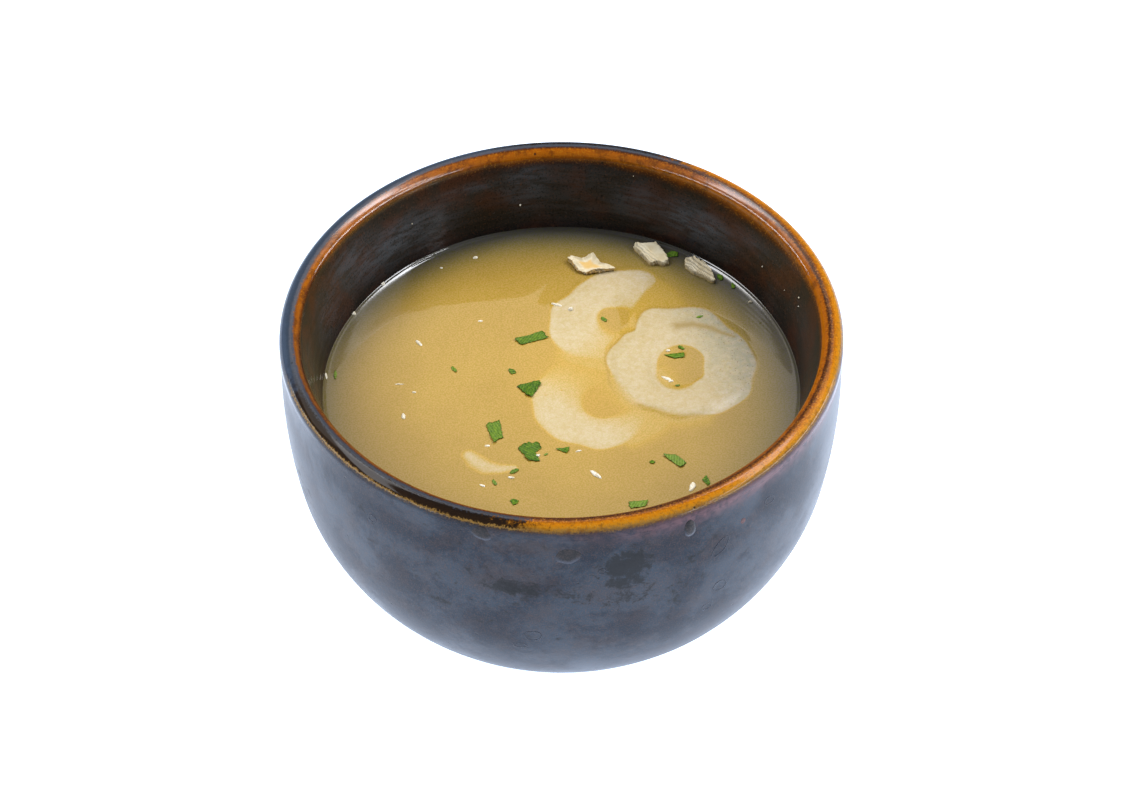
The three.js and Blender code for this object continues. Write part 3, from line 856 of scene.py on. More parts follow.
# The look of soaked bread, alike where it stands out of the soup and where it lies just under it.
def soakedColour(tree, place):
    b = bread
    paler = stepOf(tree, noiseOf(tree, place, 1.5, 7, 0.75, 0.5), 0.36, 0.62)
    colour = mixColour(tree, paler, b["cream"], b["creamPale"])
    squeezed = put(tree, "ShaderNodeMapping", None, {"Vector": place, "Scale": (1.0, 1.8, 1.0)}).outputs[0]
    fibres = noiseOf(tree, squeezed, 0.55, 4, 0.6, 0.8)
    colour = tinted(tree, colour, b["fibre"], fibres, 0.52, 0.70, 0.30)
    colour = tinted(tree, colour, b["gold"], fibres, 0.46, 0.30, 0.22)
    greySide = valueOf(tree, "greySide")
    mottle = stepOf(tree, noiseOf(tree, place, 1.6, 6, 0.7), 0.30, 0.66, 0.30, 1.0)
    colour = mixColour(tree, times(tree, greySide, mottle), colour, b["grey"])
    specked = times(tree, specksOf(tree, place, 0.55, 0.42, 0.36), greySide)
    colour = painted(tree, colour, b["brown"], specked, 0.75)
    colour = painted(tree, colour, b["gold"], specksOf(tree, place, 3.6, 0.16, 0.14), 0.5)
    # painted shade along the fold in the front ring
    return painted(tree, colour, b["creaseShade"], valueOf(tree, "foldShade"), 0.8)


def breadMaterial():
    material, tree, shader = newMaterial("soaked_gluten")
    place = put(tree, "ShaderNodeTexCoord").outputs["Object"]
    tree.links.new(soupColour(tree, place), shader.inputs["Base Color"])
    # as wet as the soup where it leaves it, duller towards its top
    height = valueOf(tree, "height")
    dry = shaken(tree, height, noiseOf(tree, place, 1.2, 3), 0.3)
    tree.links.new(stepOf(tree, dry, 0.30, 0.70, 0.26, 0.38), shader.inputs["Roughness"])
    pores = specksOf(tree, place, 0.8, 0.30, 0.32)
    relief = shaken(tree, times(tree, pores, -0.4), noiseOf(tree, place, 0.7, 4, 0.6), 1.0)
    relief = times(tree, relief, stepOf(tree, height, 0.30, 0.60))
    tree.links.new(bumpOf(tree, relief, 0.05, 0.5), shader.inputs["Normal"])
    shader.inputs["IOR"].default_value = bread["IOR"]
    return material


# Radius of a polygon seen from its middle, in each direction, by meeting each ray with the side
# that it crosses.
def outlineRadius(corners, angle):
    corners = np.array(corners, float)
    order = np.argsort(np.arctan2(corners[:, 1], corners[:, 0]))
    corners = corners[order]
    a, b = corners, np.roll(corners, -1, 0)
    d = np.stack([np.cos(angle), np.sin(angle)], -1)[:, None, :]
    side = b - a
    cross = d[..., 0] * side[:, 1] - d[..., 1] * side[:, 0]
    cross = np.where(np.abs(cross) < 1e-9, 1e-9, cross)
    t = (a[:, 0] * side[:, 1] - a[:, 1] * side[:, 0]) / cross
    s = (a[:, 0] * d[..., 1] - a[:, 1] * d[..., 0]) / cross
    return np.where((t > 0) & (s >= -0.001) & (s <= 1.001), t, 0).max(1)


# Torn pieces: outline on the soup, underside and thickness, how the top rises (to one side and at the
# edges), the way its layers run, how deep the ridges between them are, and on which share of it they show.
pieces = {
    "folded": {
        "centre": (6.0, 39.0), "base": -0.3, "thickness": 0.7,
        "tilt": (0.0, 0.03), "curl": 0.9, "wave": 0.35,
        "layers": -14, "ridge": 0.03, "ridgeFrom": 5.0, "gold": 1.0,
        "outline": [
            (1.4, 40.4), (2.2, 41.3), (4.1, 40.8), (5.2, 40.9), (7.1, 41.9), (7.7, 40.6), (8.9, 39.2),
            (10.8, 38.9), (11.8, 37.4), (9.1, 36.8), (5.5, 36.1), (3.6, 36.9), (2.6, 38.6),
        ],
    },
    "slab": {
        "centre": (19.9, 42.0), "base": -0.9, "thickness": 2.2,
        "tilt": (0.02, 0.05), "curl": 0.15, "wave": 0.06,
        "layers": -50, "ridge": 0.10, "ridgeFrom": 0.0, "gold": 0.35,
        "outline": [
            (15.9, 44.6), (16.6, 45.3), (18.4, 45.0), (20.9, 45.4), (22.6, 43.0), (23.8, 39.6),
            (22.6, 38.9), (21.2, 39.4), (19.6, 38.9), (18.8, 40.4), (17.4, 42.4),
        ],
    },
    "layered": {
        "centre": (30.4, 37.2), "base": -0.8, "thickness": 2.0,
        "tilt": (0.0, 0.06), "curl": 0.12, "wave": 0.05,
        "layers": -44, "ridge": 0.13, "ridgeFrom": -2.0, "gold": 0.2,
        "outline": [
            (27.5, 40.2), (29.4, 40.7), (31.8, 38.9), (33.1, 36.6), (33.9, 33.4), (33.3, 33.2),
            (31.7, 34.6), (28.9, 36.4), (27.4, 38.2),
        ],
    },
}

crumb = {
    "layerPitch": 0.85,  # from one layer to the next
    "cream": (0.56, 0.47, 0.29),
    "creamPale": (0.69, 0.62, 0.45),
    "gold": (0.62, 0.38, 0.090),
    "line": (0.30, 0.27, 0.20),
    "wet": (0.52, 0.36, 0.12),
    "IOR": 1.36,
}


# A torn piece: its outline swept from the underside's middle out to the rim, up the torn side
# and back over the top.
def makeCrumb(name, node, p, material, seed, columns=150):
    under = [(share, -1.0) for share in np.linspace(0.08, 0.92, 8)]
    side = [
        (0.97, -0.86), (1.0, -0.6), (1.0, -0.3), (1.0, 0.0), (1.0, 0.3), (1.0, 0.55),
        (0.99, 0.75), (0.965, 0.92), (0.94, 0.98),
    ]
    top = [(share, 1.0) for share in np.linspace(0.90, 0.06, 22)]
    share, level = np.array(under + side + top).T[:, :, None]
    angle = roundAngles(columns)[None, :]
    corners = np.array(p["outline"]) - p["centre"]
    radius = outlineRadius(corners, angle[0])[None, :]
    radius = (np.roll(radius, 1, 1) + 2 * radius + np.roll(radius, -1, 1)) / 4
    torn = 1 + 0.055 * softNoise(np.cos(angle) * 6 + level, np.sin(angle) * 6 + 2 * level, 1.0, seed)
    torn = torn + 0.045 * softNoise(np.cos(angle) * 19 + level, np.sin(angle) * 19 + 2 * level, 1.0, seed + 1)
    x, y = share * radius * torn * np.cos(angle), share * radius * torn * np.sin(angle)
    level = level + 0 * x
    across = tilted(x, y, 90 - p["layers"])[0]
    strata = np.sin(2 * np.pi * (across / crumb["layerPitch"] + 0.55 * softNoise(x, y, 1.7, seed + 3)))
    layered = smoothStep(across, p["ridgeFrom"] - 0.4, p["ridgeFrom"] + 0.4)
    rise = p["tilt"][0] * x + p["tilt"][1] * y + p["curl"] * share ** 3
    rise = rise + p["wave"] * share ** 2 * np.sin(3 * angle + seed)
    rise = rise + p["ridge"] * strata * layered + 0.05 * softNoise(x, y, 0.8, seed + 2)
    lifted = (p["curl"] * 0.7 * share ** 3) * (level < -0.5)
    z = p["base"] + (level + 1) / 2 * (p["thickness"] + rise) + lifted
    points = np.stack([x + p["centre"][0], y + p["centre"][1], z + soupLevel], -1).reshape(-1, 3)
    rows = len(points) // columns
    bottom = soupLevel + p["base"]
    middles = [[*p["centre"], bottom], [*p["centre"], bottom + p["thickness"]]]
    onTop = smoothStep(level, 0.7, 1.0)
    gold = p["gold"] * np.maximum(np.exp(-(share / 0.55) ** 4) * onTop + 0 * x, 0.8 * (1 - onTop))
    values = {
        "strata": np.append((strata * np.maximum(layered, 1 - onTop)).ravel(), [0, 0]),
        "height": np.append(z.ravel(), [-1, 1]),
        "gold": np.append(gold.ravel(), [0, gold[-1].mean()]),
    }
    faces = closedRows(rows, columns, flipped=True)
    piece = makePiece(name, np.concatenate([points, middles]), faces, values)
    finishPiece(piece, material, "gluten", node)
    return piece


def crumbMaterial():
    c = crumb
    material, tree, shader = newMaterial("torn_gluten")
    place = put(tree, "ShaderNodeTexCoord").outputs["Object"]
    colour = mixColour(tree, cloudsOf(tree, place, 2.4, 0.36, 0.64), c["cream"], c["creamPale"])
    golden = shaken(tree, valueOf(tree, "gold"), noiseOf(tree, place, 1.2, 4), 0.8)
    colour = tinted(tree, colour, c["gold"], golden, 0.25, 1.0, 0.85)
    # grey lines between the layers
    broken = stepOf(tree, noiseOf(tree, place, 0.9, 3), 0.34, 0.6, 0.3, 0.75)
    lines = times(tree, stepOf(tree, valueOf(tree, "strata"), -0.15, -0.85), broken)
    colour = mixColour(tree, lines, colour, c["line"])
    # wet and golden near the soup
    wet = stepOf(tree, valueOf(tree, "height"), 0.05, 0.5, 0.9, 0.0)
    colour = mixColour(tree, wet, colour, c["wet"])
    tree.links.new(colour, shader.inputs["Base Color"])
    roughness = stepOf(tree, noiseOf(tree, place, 0.8, 2), 0.3, 0.7, 0.3, 0.55)
    tree.links.new(roughness, shader.inputs["Roughness"])
    tree.links.new(bumpOf(tree, noiseOf(tree, place, 0.5, 4), 0.10, 0.6), shader.inputs["Normal"])
    shader.inputs["IOR"].default_value = c["IOR"]
    return material


crumbSkin = crumbMaterial()
makeCrumb("piece_folded_torn", "piece_folded", pieces["folded"], crumbSkin, 61)
makeCrumb("piece_slab_torn", "piece_slab", pieces["slab"], crumbSkin, 67)
makeCrumb("piece_layered_torn", "piece_layered", pieces["layered"], crumbSkin, 71)
print("torn pieces made")

soup = {
    "columns": 440,
    "edgeRadius": 51.09,
    "pooled": (0.30, 0.60),  # rise and reach of the soup drawn up the wall at the back left and back right
    "meniscus": (0.38, 0.17),  # and everywhere
    "film": (0.05, 0.25),  # how far under the bread its wet film would lie, and how round it runs out
    "clear": 0.3,  # between its underside and the bowl
    # how dark the soup turns at the wall: turn, amount, the distance over which it fades, and how sharply
    "wallShade": [
        (-180, 0.66, 9.0, 1.0), (-135, 0.50, 16.5, 1.0), (-90, 0.44, 17.0, 1.0),
        (-45, 0.57, 18.0, 1.0), (0, 0.84, 16.0, 1.0), (45, 0.94, 12.5, 1.1), (90, 0.94, 10.5, 1.1),
        (135, 0.87, 8.0, 1.1), (180, 0.66, 9.0, 1.0),
    ],
    "body": (0.435, 0.275, 0.048),
    "bodyDeep": (0.400, 0.250, 0.042),
    "golden": (0.480, 0.288, 0.038),
    "hazeGold": (0.490, 0.305, 0.044),
    "sunkGold": (0.515, 0.350, 0.090),
    # painted shadow beside the rings' edges
    "ringShadeLine": (0.400, 0.245, 0.034),
    "curdYellow": (0.85, 0.89, 0.60),
    "curdPink": (1.12, 1.09, 1.36),
    "IOR": 1.34, "rimCoatIOR": 1.7, "rimCoatRoughness": 0.03,
    # what is left of a colour in the shade by the wall, from none of the light to all of it
    "shadeTint": [
        (0.0, (0.010, 0.014, 0.090)), (0.17, (0.178, 0.258, 1.100)), (0.31, (0.314, 0.402, 1.050)),
        (0.50, (0.510, 0.575, 0.930)), (0.65, (0.660, 0.685, 0.900)), (0.85, (0.857, 0.862, 0.930)),
        (1.0, (1.0, 1.0, 1.0)),
    ],
}

# The ring that lies deepest, and the pale flap by the front; both only show through.
sunkRing = {
    "centre": (9.2, -3.2), "top": -0.25, "thickness": 4.4, "middleRadius": 10.0, "halfWidth": 5.6,
    "dip": (54, -7.5, 0.30), "outer": [(180, 50, 0.4), (-65, 60, -1.4)], "inner": [(250, 50, 0.8)],
    "fade": 3.0, "softSide": (-15, 0.45),
}
sunkFlap = {"line": [(-19.6, -19.6), (-18.2, -21.4), (-16.0, -23.2), (-13.2, -23.7), (-10.0, -23.3)],
            "width": [1.6, 2.2, 2.1, 1.5, 0.8], "strength": 0.64}


# How strongly sunk bread shows at each place on the soup: exp(-depth / fade), with an edge that softens
# with depth.
def showThrough(x, y):
    shown = np.zeros_like(x)
    for ring in (rings["front"], rings["back"], sunkRing):
        top, across = ringTopAt(ring, x, y)
        depth = np.maximum(-top, 0)
        softTurn, softness = ring["softSide"]
        turn = np.arctan2(y - ring["centre"][1], x - ring["centre"][0]) / degree
        softness = softness * smoothStep(np.cos((turn - softTurn) * degree), 0.4, 0.95)
        blur = 0.05 + 0.05 * np.clip(depth, 0, 6) + softness
        # the blurred side also draws its outer edge inwards
        edge = 1 - smoothStep(np.maximum(across + softness, -across), 1 - blur, 1 + blur)
        strength = edge * np.exp(-depth / ring["fade"])
        if ring is rings["back"]:
            # beyond the cut line the back ring lies under a fold and is no more than golden, its hole too
            filled = 1 - smoothStep(across, 1 - blur, 1 + blur)
            side = sideOfLine(x, y, cutLine)
            strength = strength + (0.26 * filled - strength) * smoothStep(side, -0.3, 0.3)
        # a golden haze spreads from a blurred edge
        beyond = np.maximum(across - 1, 0) * ring["halfWidth"]
        haze = 0.34 * np.exp(-beyond / 2.4) * (across > 0) * smoothStep(softness, 0.0, 0.15)
        shown = np.maximum.reduce([shown, strength, haze])
    away, where = awayFromLine(x, y, sunkFlap["line"])
    width = np.interp(where, np.linspace(0, 1, len(sunkFlap["width"])), sunkFlap["width"])
    return np.maximum(shown, sunkFlap["strength"] * (1 - smoothStep(away / width, 0.2, 1.5)))


# Millimetres to the right of a line that runs upwards through the given points.
def sideOfLine(x, y, line):
    at = np.interp(y, [point[1] for point in line], [point[0] for point in line])
    return x - at


# How much soup is drawn up the wall there, from 0 to 1.
def pooledAt(x, y):
    turn = np.arctan2(y, x) / degree
    return np.maximum(bellAt(turn, 124, 19, 4), 0.8 * bellAt(turn, 55, 22, 4))


# Height of the soup's rise at the wall: the sum of rise * exp(-distance / reach).
def meniscusAt(x, y):
    inward = np.minimum(np.hypot(x, y) - soup["edgeRadius"], 0)
    rise, reach = soup["pooled"]
    pooled = rise * np.exp(inward / reach) * (0.15 + 0.85 * pooledAt(x, y))
    rise, reach = soup["meniscus"]
    return pooled + rise * np.exp(inward / reach)


# How dark the soup is by the wall: amount * exp(-(distance / reach)^sharpness), with all three set
# by the turn.
def wallShadeAt(x, y):
    turn = np.arctan2(y, x) / degree
    fromWall = np.maximum(soup["edgeRadius"] - np.hypot(x, y), 0)
    turns, amounts, reaches, sharpness = zip(*soup["wallShade"])
    amount, reach, power = [np.interp(turn, turns, numbers) for numbers in (amounts, reaches, sharpness)]
    return amount * np.exp(-(fromWall / reach) ** power)


# What the soup and the bread in it look like at each place, as values from 0 to 1.
def soupMasks(x, y):
    line, film = np.zeros_like(x), np.zeros_like(x)
    for ring in (rings["front"], rings["back"]):
        top, across = ringTopAt(ring, x, y)
        film = np.maximum(film, smoothStep(top, -0.8, -0.1) * (1 - smoothStep(np.abs(across), 1.0, 1.15)))
        beyond = (across - 0.97) * ring["halfWidth"]
        dx, dy = x - ring["centre"][0], y - ring["centre"][1]
        upperLeft = smoothStep(dy - dx, 2, 14)
        if ring is rings["front"]:
            # painted shade: a dark line along its upper left, the shadow that the ring casts into the soup,
            # and a thinner one along its right side
            line = np.maximum(line, np.exp(-((beyond - 0.20) / 0.34) ** 2) * upperLeft)
            rightSide = smoothStep(dx / np.hypot(dx, dy), 0.86, 0.99)
            line = np.maximum(line, 0.9 * np.exp(-(beyond / 0.32) ** 2) * rightSide)
        else:
            # painted shadow along the back ring's upper left
            line = np.maximum(line, 0.55 * np.exp(-((beyond - 0.3) / 0.45) ** 2) * upperLeft)
    # painted shade in the fold across the front ring, narrowing along the fold line
    away, where = awayFromLine(x, y, foldLine)
    foldShade = np.exp(-(away / (1.25 - 0.80 * where)) ** 2)
    greySide = smoothStep((x - 33) * 0.9 + (y - 8) * 0.35, -7, 7)
    glow = np.exp(-(((x - 8) / 16) ** 2 + ((y - 2) / 17) ** 2) ** 1.2)
    return {
        "sunk": showThrough(x, y), "wallShade": wallShadeAt(x, y), "glow": glow, "line": line,
        "foldShade": foldShade, "greySide": greySide, "film": film,
    }


def makeSoup():
    s = soup
    edge = s["edgeRadius"]
    # rows lie closer together near the wall, and the last one reaches into it
    reach = np.concatenate([
        np.linspace(0.3, 46.5, 168), np.linspace(46.5, 50.2, 18)[1:],
        np.linspace(50.2, edge, 14)[1:], [edge + 0.45],
    ])
    columns = s["columns"]
    angle = roundAngles(columns)
    radius = reach[:, None] + 0 * angle[None, :]
    x, y = radius * np.cos(angle), radius * np.sin(angle)
    z = meniscusAt(x, y) + 0.010 * softNoise(x, y, 9, 5)
    # a wet film runs up on a ring that stands out: the smooth maximum of the level and a plane under the
    # bread, ((h - gap) + sqrt((h - gap)^2 + round^2)) / 2 for bread at height h
    gap, rounding = s["film"]
    for ring in (rings["front"], rings["back"]):
        top, across = ringTopAt(ring, x, y)
        away = np.abs(across)
        film = (top - gap + np.hypot(top - gap, rounding)) / 2
        z = z + film * (1 - smoothStep(away, 1.0, 1.3)) - 0.15 * smoothStep(top, 0.35, 0.75) * (away < 1)
    upper = np.stack([x, y, z + soupLevel], -1).reshape(-1, 3)
    # the underside follows the hollow just inside the bowl's wall
    inner = innerOutline()
    inner = inner[inner[:, 1] < soupLevel - 0.2][::-6]
    lowReach = np.repeat(inner[:, :1] - s["clear"], columns, 1)
    lowLevel = np.repeat(inner[:, 1:] + s["clear"], columns, 1)
    under = np.stack([lowReach * np.cos(angle), lowReach * np.sin(angle), lowLevel], -1).reshape(-1, 3)
    middles = [[0, 0, soupLevel + z[0].mean()], [0, 0, bowl["floorHeight"] + s["clear"]]]
    points = np.concatenate([upper, under, middles])
    masks = soupMasks(x, y)
    masks["rim"] = smoothStep(np.hypot(x, y), edge - 1.3, edge - 0.8) * pooledAt(x, y)
    rest = np.zeros(len(under) + 2)
    values = {key: np.append(mask.ravel(), rest) for key, mask in masks.items()}
    piece = makePiece("broth", points, closedRows(len(reach) + len(inner), columns), values)
    finishPiece(piece, brothMaterial(), "broth", "soup")
    return piece


# The colour of soup and soaked bread, from the values of soupMasks.
def soupColour(tree, place):
    s = soup
    drift = cloudsOf(tree, place, 22.0, 0.34, 0.68)
    curds = noiseOf(tree, place, 0.34, 2)
    colour = mixColour(tree, drift, s["body"], s["bodyDeep"])
    colour = painted(tree, colour, s["golden"], valueOf(tree, "glow"), 0.85)
    # sunk bread: golden while faint, pale cream where it comes up
    sunk = shaken(tree, valueOf(tree, "sunk"), noiseOf(tree, place, 2.4, 4), 0.12)
    colour = tinted(tree, colour, s["hazeGold"], sunk, 0.04, 0.26)
    colour = tinted(tree, colour, s["sunkGold"], sunk, 0.20, 0.48)
    colour = tinted(tree, colour, soakedColour(tree, place), sunk, 0.32, 0.84)
    # painted shadow: a dark golden line beside the rings' edges
    colour = painted(tree, colour, s["ringShadeLine"], valueOf(tree, "line"), 0.78)
    # the shade by the wall; pale bread keeps some of its light there
    shade = shaken(tree, valueOf(tree, "wallShade"), curds, 0.12)
    shade = times(tree, shade, stepOf(tree, sunk, 0.3, 0.9, 1.0, 0.60))
    light = maths(tree, "SUBTRACT", 1.0, shade)
    colour = mixColour(tree, 1.0, colour, rampOf(tree, light, s["shadeTint"]), "MULTIPLY")
    # curds: a fine grain, yellower in its dark and pinker in its light
    curdTint = mixColour(tree, stepOf(tree, curds, 0.34, 0.66), s["curdYellow"], s["curdPink"])
    # the bread's own grain is calmer than the soup's
    grained = mixColour(tree, 1.0, colour, curdTint, "MULTIPLY")
    return mixColour(tree, stepOf(tree, sunk, 0.3, 0.9, 1.0, 0.35), colour, grained)


def brothMaterial():
    material, tree, shader = newMaterial("cloudy_broth")
    place = put(tree, "ShaderNodeTexCoord").outputs["Object"]
    drift = cloudsOf(tree, place, 22.0, 0.34, 0.68)
    tree.links.new(soupColour(tree, place), shader.inputs["Base Color"])
    still = stepOf(tree, drift, 0, 1, 0.012, 0.022)
    roughness = plus(tree, still, times(tree, valueOf(tree, "film"), 0.24))
    tree.links.new(roughness, shader.inputs["Roughness"])
    tree.links.new(bumpOf(tree, noiseOf(tree, place, 6.0, 1), 0.01, 0.15), shader.inputs["Normal"])
    shader.inputs["IOR"].default_value = soup["IOR"]
    # the film that climbs the wall is clear and bright
    tree.links.new(valueOf(tree, "rim"), shader.inputs["Coat Weight"])
    shader.inputs["Coat IOR"].default_value = soup["rimCoatIOR"]
    shader.inputs["Coat Roughness"].default_value = soup["rimCoatRoughness"]
    return material


breadSkin = breadMaterial()
makeRing("ring_front_soaked", rings["front"], "ring_front", breadSkin, 31)
makeRing("ring_back_soaked", rings["back"], "ring_back", breadSkin, 47)
print("rings made")

soupPiece = makeSoup()
print("broth made:", len(soupPiece.data.polygons), "faces")

# Each leaf: place on the soup, outline round it, and how pale it is.
herbs = [
    ((-6.5, 15.9), [(-3.4, -0.2), (2.3, 2.2), (3.5, 0.2), (-2.5, -2.1)], 0.2),
    ((-6.3, 0.9), [(-3.4, 0.1), (1.5, 2.2), (2.0, 1.1), (-0.2, -3.4)], 0.05),
    ((-14.1, -12.7), [(-2.1, 1.9), (0.8, 3.3), (1.7, -1.7), (-0.4, -3.4)], 0.3),
    ((-6.2, -18.8), [(-2.9, 0.9), (-2.5, 2.4), (1.6, 2.9), (2.0, 1.2),
                     (0.6, -0.1), (1.6, -2.4), (0.7, -2.9), (-1.1, -2.2)], 0.15),
    ((0.6, -18.1), [(-1.8, 0.2), (1.2, 0.9), (0.6, -1.1)], 0.1),
    ((-9.9, -33.5), [(-1.0, 0.4), (-0.3, 0.9), (0.9, 0.5), (0.6, -0.5), (-0.3, -0.9)], 0.0),
    ((24.3, -21.2), [(-3, 1.6), (-0.1, 1.6), (2.5, -1), (0.7, -2.2)], 0.6),
    ((30.6, -27.4), [(-1, 0.3), (0, 1.7), (0.8, -0.6), (0.3, -1.5)], 0.1),
    ((16.1, -34.2), [(-2.2, 0.7), (2.1, 1.2), (1.6, -0.6), (-1.6, -1.2)], 0.5),
    ((24.9, 10.5), [(-2.9, 0.3), (1.7, 1), (1.6, -0.5), (-0.4, -0.9)], 0.1),
    ((24.5, 42.6), [(-1.6, 0), (-0.2, 1.1), (1.5, 0.6), (1.3, -0.7), (-1.1, -0.8)], 0.15),
]
# Small bits: place, length, width, turn, paleness
herbBits = [
    (-23.2, 6.4, 2.4, 0.9, -58, 0.35), (-10.6, 5.7, 2.2, 1.4, -45, 0.2),
    (-10, -24.4, 2.5, 1.2, 34, 0.3), (-14.2, -27.7, 2.1, 0.8, -65, 0.5),
    (19.2, -21.8, 1.4, 1.2, 0, 0.0), (26, 13, 2.0, 0.9, -43, 0.1), (25, 1.3, 1.1, 0.7, 10, 0.5),
    (9.3, 21.9, 1.9, 1.1, -48, 0.25), (30.2, 22.6, 1.8, 0.7, 19, 0.2),
    (35.0, 35.2, 2.2, 1.4, -64, 0.1), (37.8, 32.4, 1.8, 1.1, -83, 0.15),
    (-48.8, 4.8, 2.9, 0.7, -88, 0.75), (-3.3, -19.4, 1.0, 0.6, 30, 0.8),
    (33.0, 36.5, 1.1, 0.8, -20, 0.3),
]
# Pale grains: place, length, width, turn, how far it stands out
grains = [
    (7.3, -25.4, 3.5, 1.2, -48, 0.42), (-10.6, -26.3, 1.6, 0.8, -12, 0.35),
    (-5.0, -19.8, 1.2, 0.8, 40, 0.40), (3.6, -18.4, 1.6, 0.6, 20, 0.25),
    (-16.7, -28.6, 1.7, 0.6, -31, 0.25), (-15.8, -16.8, 1.4, 0.7, 0, 0.2),
    (27.5, -29, 3.3, 1.4, 75, 0.42), (-17.7, 21.5, 1.2, 0.6, 10, 0.2), (-31, 14.6, 2.3, 0.9, -51, 0.3),
    (-34.9, 1.9, 2.2, 0.4, 0, 0.2), (-31.7, -0.6, 1.0, 0.7, 0, 0.25),
    (-33.8, -7.9, 2.3, 0.9, -78, 0.35), (23.1, 12.1, 1.1, 0.8, 0, 0.3), (-19, 41.8, 1.2, 0.9, 0, 0.3),
    (-39.3, 32.9, 1.2, 0.9, 30, 0.3), (-45.5, 23.7, 1.3, 1.0, 10, 0.3),
    (-26.5, 38.5, 0.8, 0.5, 0, 0.2), (2.0, 25.0, 1.5, 1.0, 50, 0.6), (41.5, 27.3, 1.2, 0.5, 0, 0.4),
    (-50.7, 4.2, 2.0, 0.6, -85, 0.3), (-1.0, 26.6, 3.0, 0.8, -20, 0.35),
    (22.6, 3.6, 2.6, 0.9, -28, 0.30), (23.6, 2.7, 1.2, 0.8, 10, 0.30),
]
# Salt-white specks that stuck to the inner wall: turn, millimetres down from the crown, size
wallSpecks = [
    (17.5, 9.0, 0.40), (16.4, 10.6, 0.28), (34.0, 12.5, 0.30), (24.0, 12.0, 0.24), (100.0, 14.5, 0.42),
    (128.0, 11.0, 0.22), (73.0, 6.0, 0.22),
]
# How a leaf lies: its thickness, how far its edge lifts, and its middle's height over what is under it.
leafShape = {"thickness": 0.16, "lift": 0.22, "over": 0.10}
grainShape = {"sunk": 0.04, "underside": 0.3}  # how far a grain lies in the soup, and its depth below that
herbColours = {
    "dark": (0.010, 0.040, 0.001),
    "green": (0.042, 0.118, 0.002),
    "light": (0.135, 0.225, 0.010),
    "pale": (0.25, 0.35, 0.060),
    "vein": (0.33, 0.42, 0.11),
    "rim": (0.020, 0.070, 0.002),
    "IOR": 1.22,
}
grainColours = {"cream": (0.62, 0.54, 0.36), "white": (0.84, 0.80, 0.68)}


# Height of the soup at a place, with its rise at the wall.
def surfaceAt(x, y):
    return soupLevel + meniscusAt(x, y)


# Height of whatever is on top at a place: soup or ring.
def topAt(x, y):
    heights = [surfaceAt(x, y)]
    for ring in (rings["front"], rings["back"]):
        top, across = ringTopAt(ring, x, y)
        heights.append(np.where(np.abs(across) < 1, soupLevel + top, 0))
    return np.maximum.reduce(heights)


# A leaf is a disc stretched to its outline, lying on what is under it, with lifted corners, a fold and
# ragged edges. The upper and lower faces share the rim; the middle of each is one point.
def leaf(at, corners, pale, seed, rows=9, columns=56):
    thickness, lift, over = leafShape["thickness"], leafShape["lift"], leafShape["over"]
    rng = np.random.default_rng(seed)
    angle = roundAngles(columns)
    ragged = 1 + 0.10 * softNoise(np.cos(angle) * 4 + seed, np.sin(angle) * 4, 1, seed)
    ragged = ragged + 0.07 * softNoise(np.cos(angle) * 9 + seed, np.sin(angle) * 9, 1, seed + 5)
    radius = outlineRadius(corners, angle) * ragged
    share = (np.arange(1, rows + 1) / rows)[:, None]
    x, y = share * radius * np.cos(angle), share * radius * np.sin(angle)
    bend = rng.uniform(0, np.pi)
    across = x * np.cos(bend) + y * np.sin(bend)
    ground = topAt(at[0] + x, at[1] + y)
    z = over + lift * (0.6 + 0.4 * np.sin(angle * 3 + seed)) * share ** 3 * np.hypot(x, y) / 2.2
    z = z + 0.05 * np.sin(across * 3.0 + seed) + 0.05 * softNoise(x * 2 + seed, y * 2, 0.8, seed)
    half = thickness / 2 * (1 - 0.85 * share ** 4)
    upper = np.stack([at[0] + x, at[1] + y, ground + z + half], -1).reshape(-1, 3)
    lower = np.stack([at[0] + x, at[1] + y, ground + z - half], -1)[:-1].reshape(-1, 3)
    middle = topAt(np.array([at[0]]), np.array([at[1]]))[0] + over
    middles = [[*at, middle + thickness / 2], [*at, middle - thickness / 2]]
    points = np.concatenate([upper, lower, middles])
    values = {
        "veinAcross": discValues(across), "pale": np.full(len(points), pale),
        "draw": np.full(len(points), rng.uniform()), "rimShare": discValues(share + 0 * x),
    }
    return points, discFaces(rows, columns), values


def ovalCorners(length, width, turn, count, seed):
    rng = np.random.default_rng(seed)
    angle = (np.arange(count) + rng.uniform(-0.25, 0.25, count)) / count * 2 * np.pi
    x = length / 2 * np.cos(angle) * rng.uniform(0.85, 1.1, count)
    y = width / 2 * np.sin(angle) * rng.uniform(0.8, 1.15, count)
    return np.stack(tilted(x, y, turn), -1)


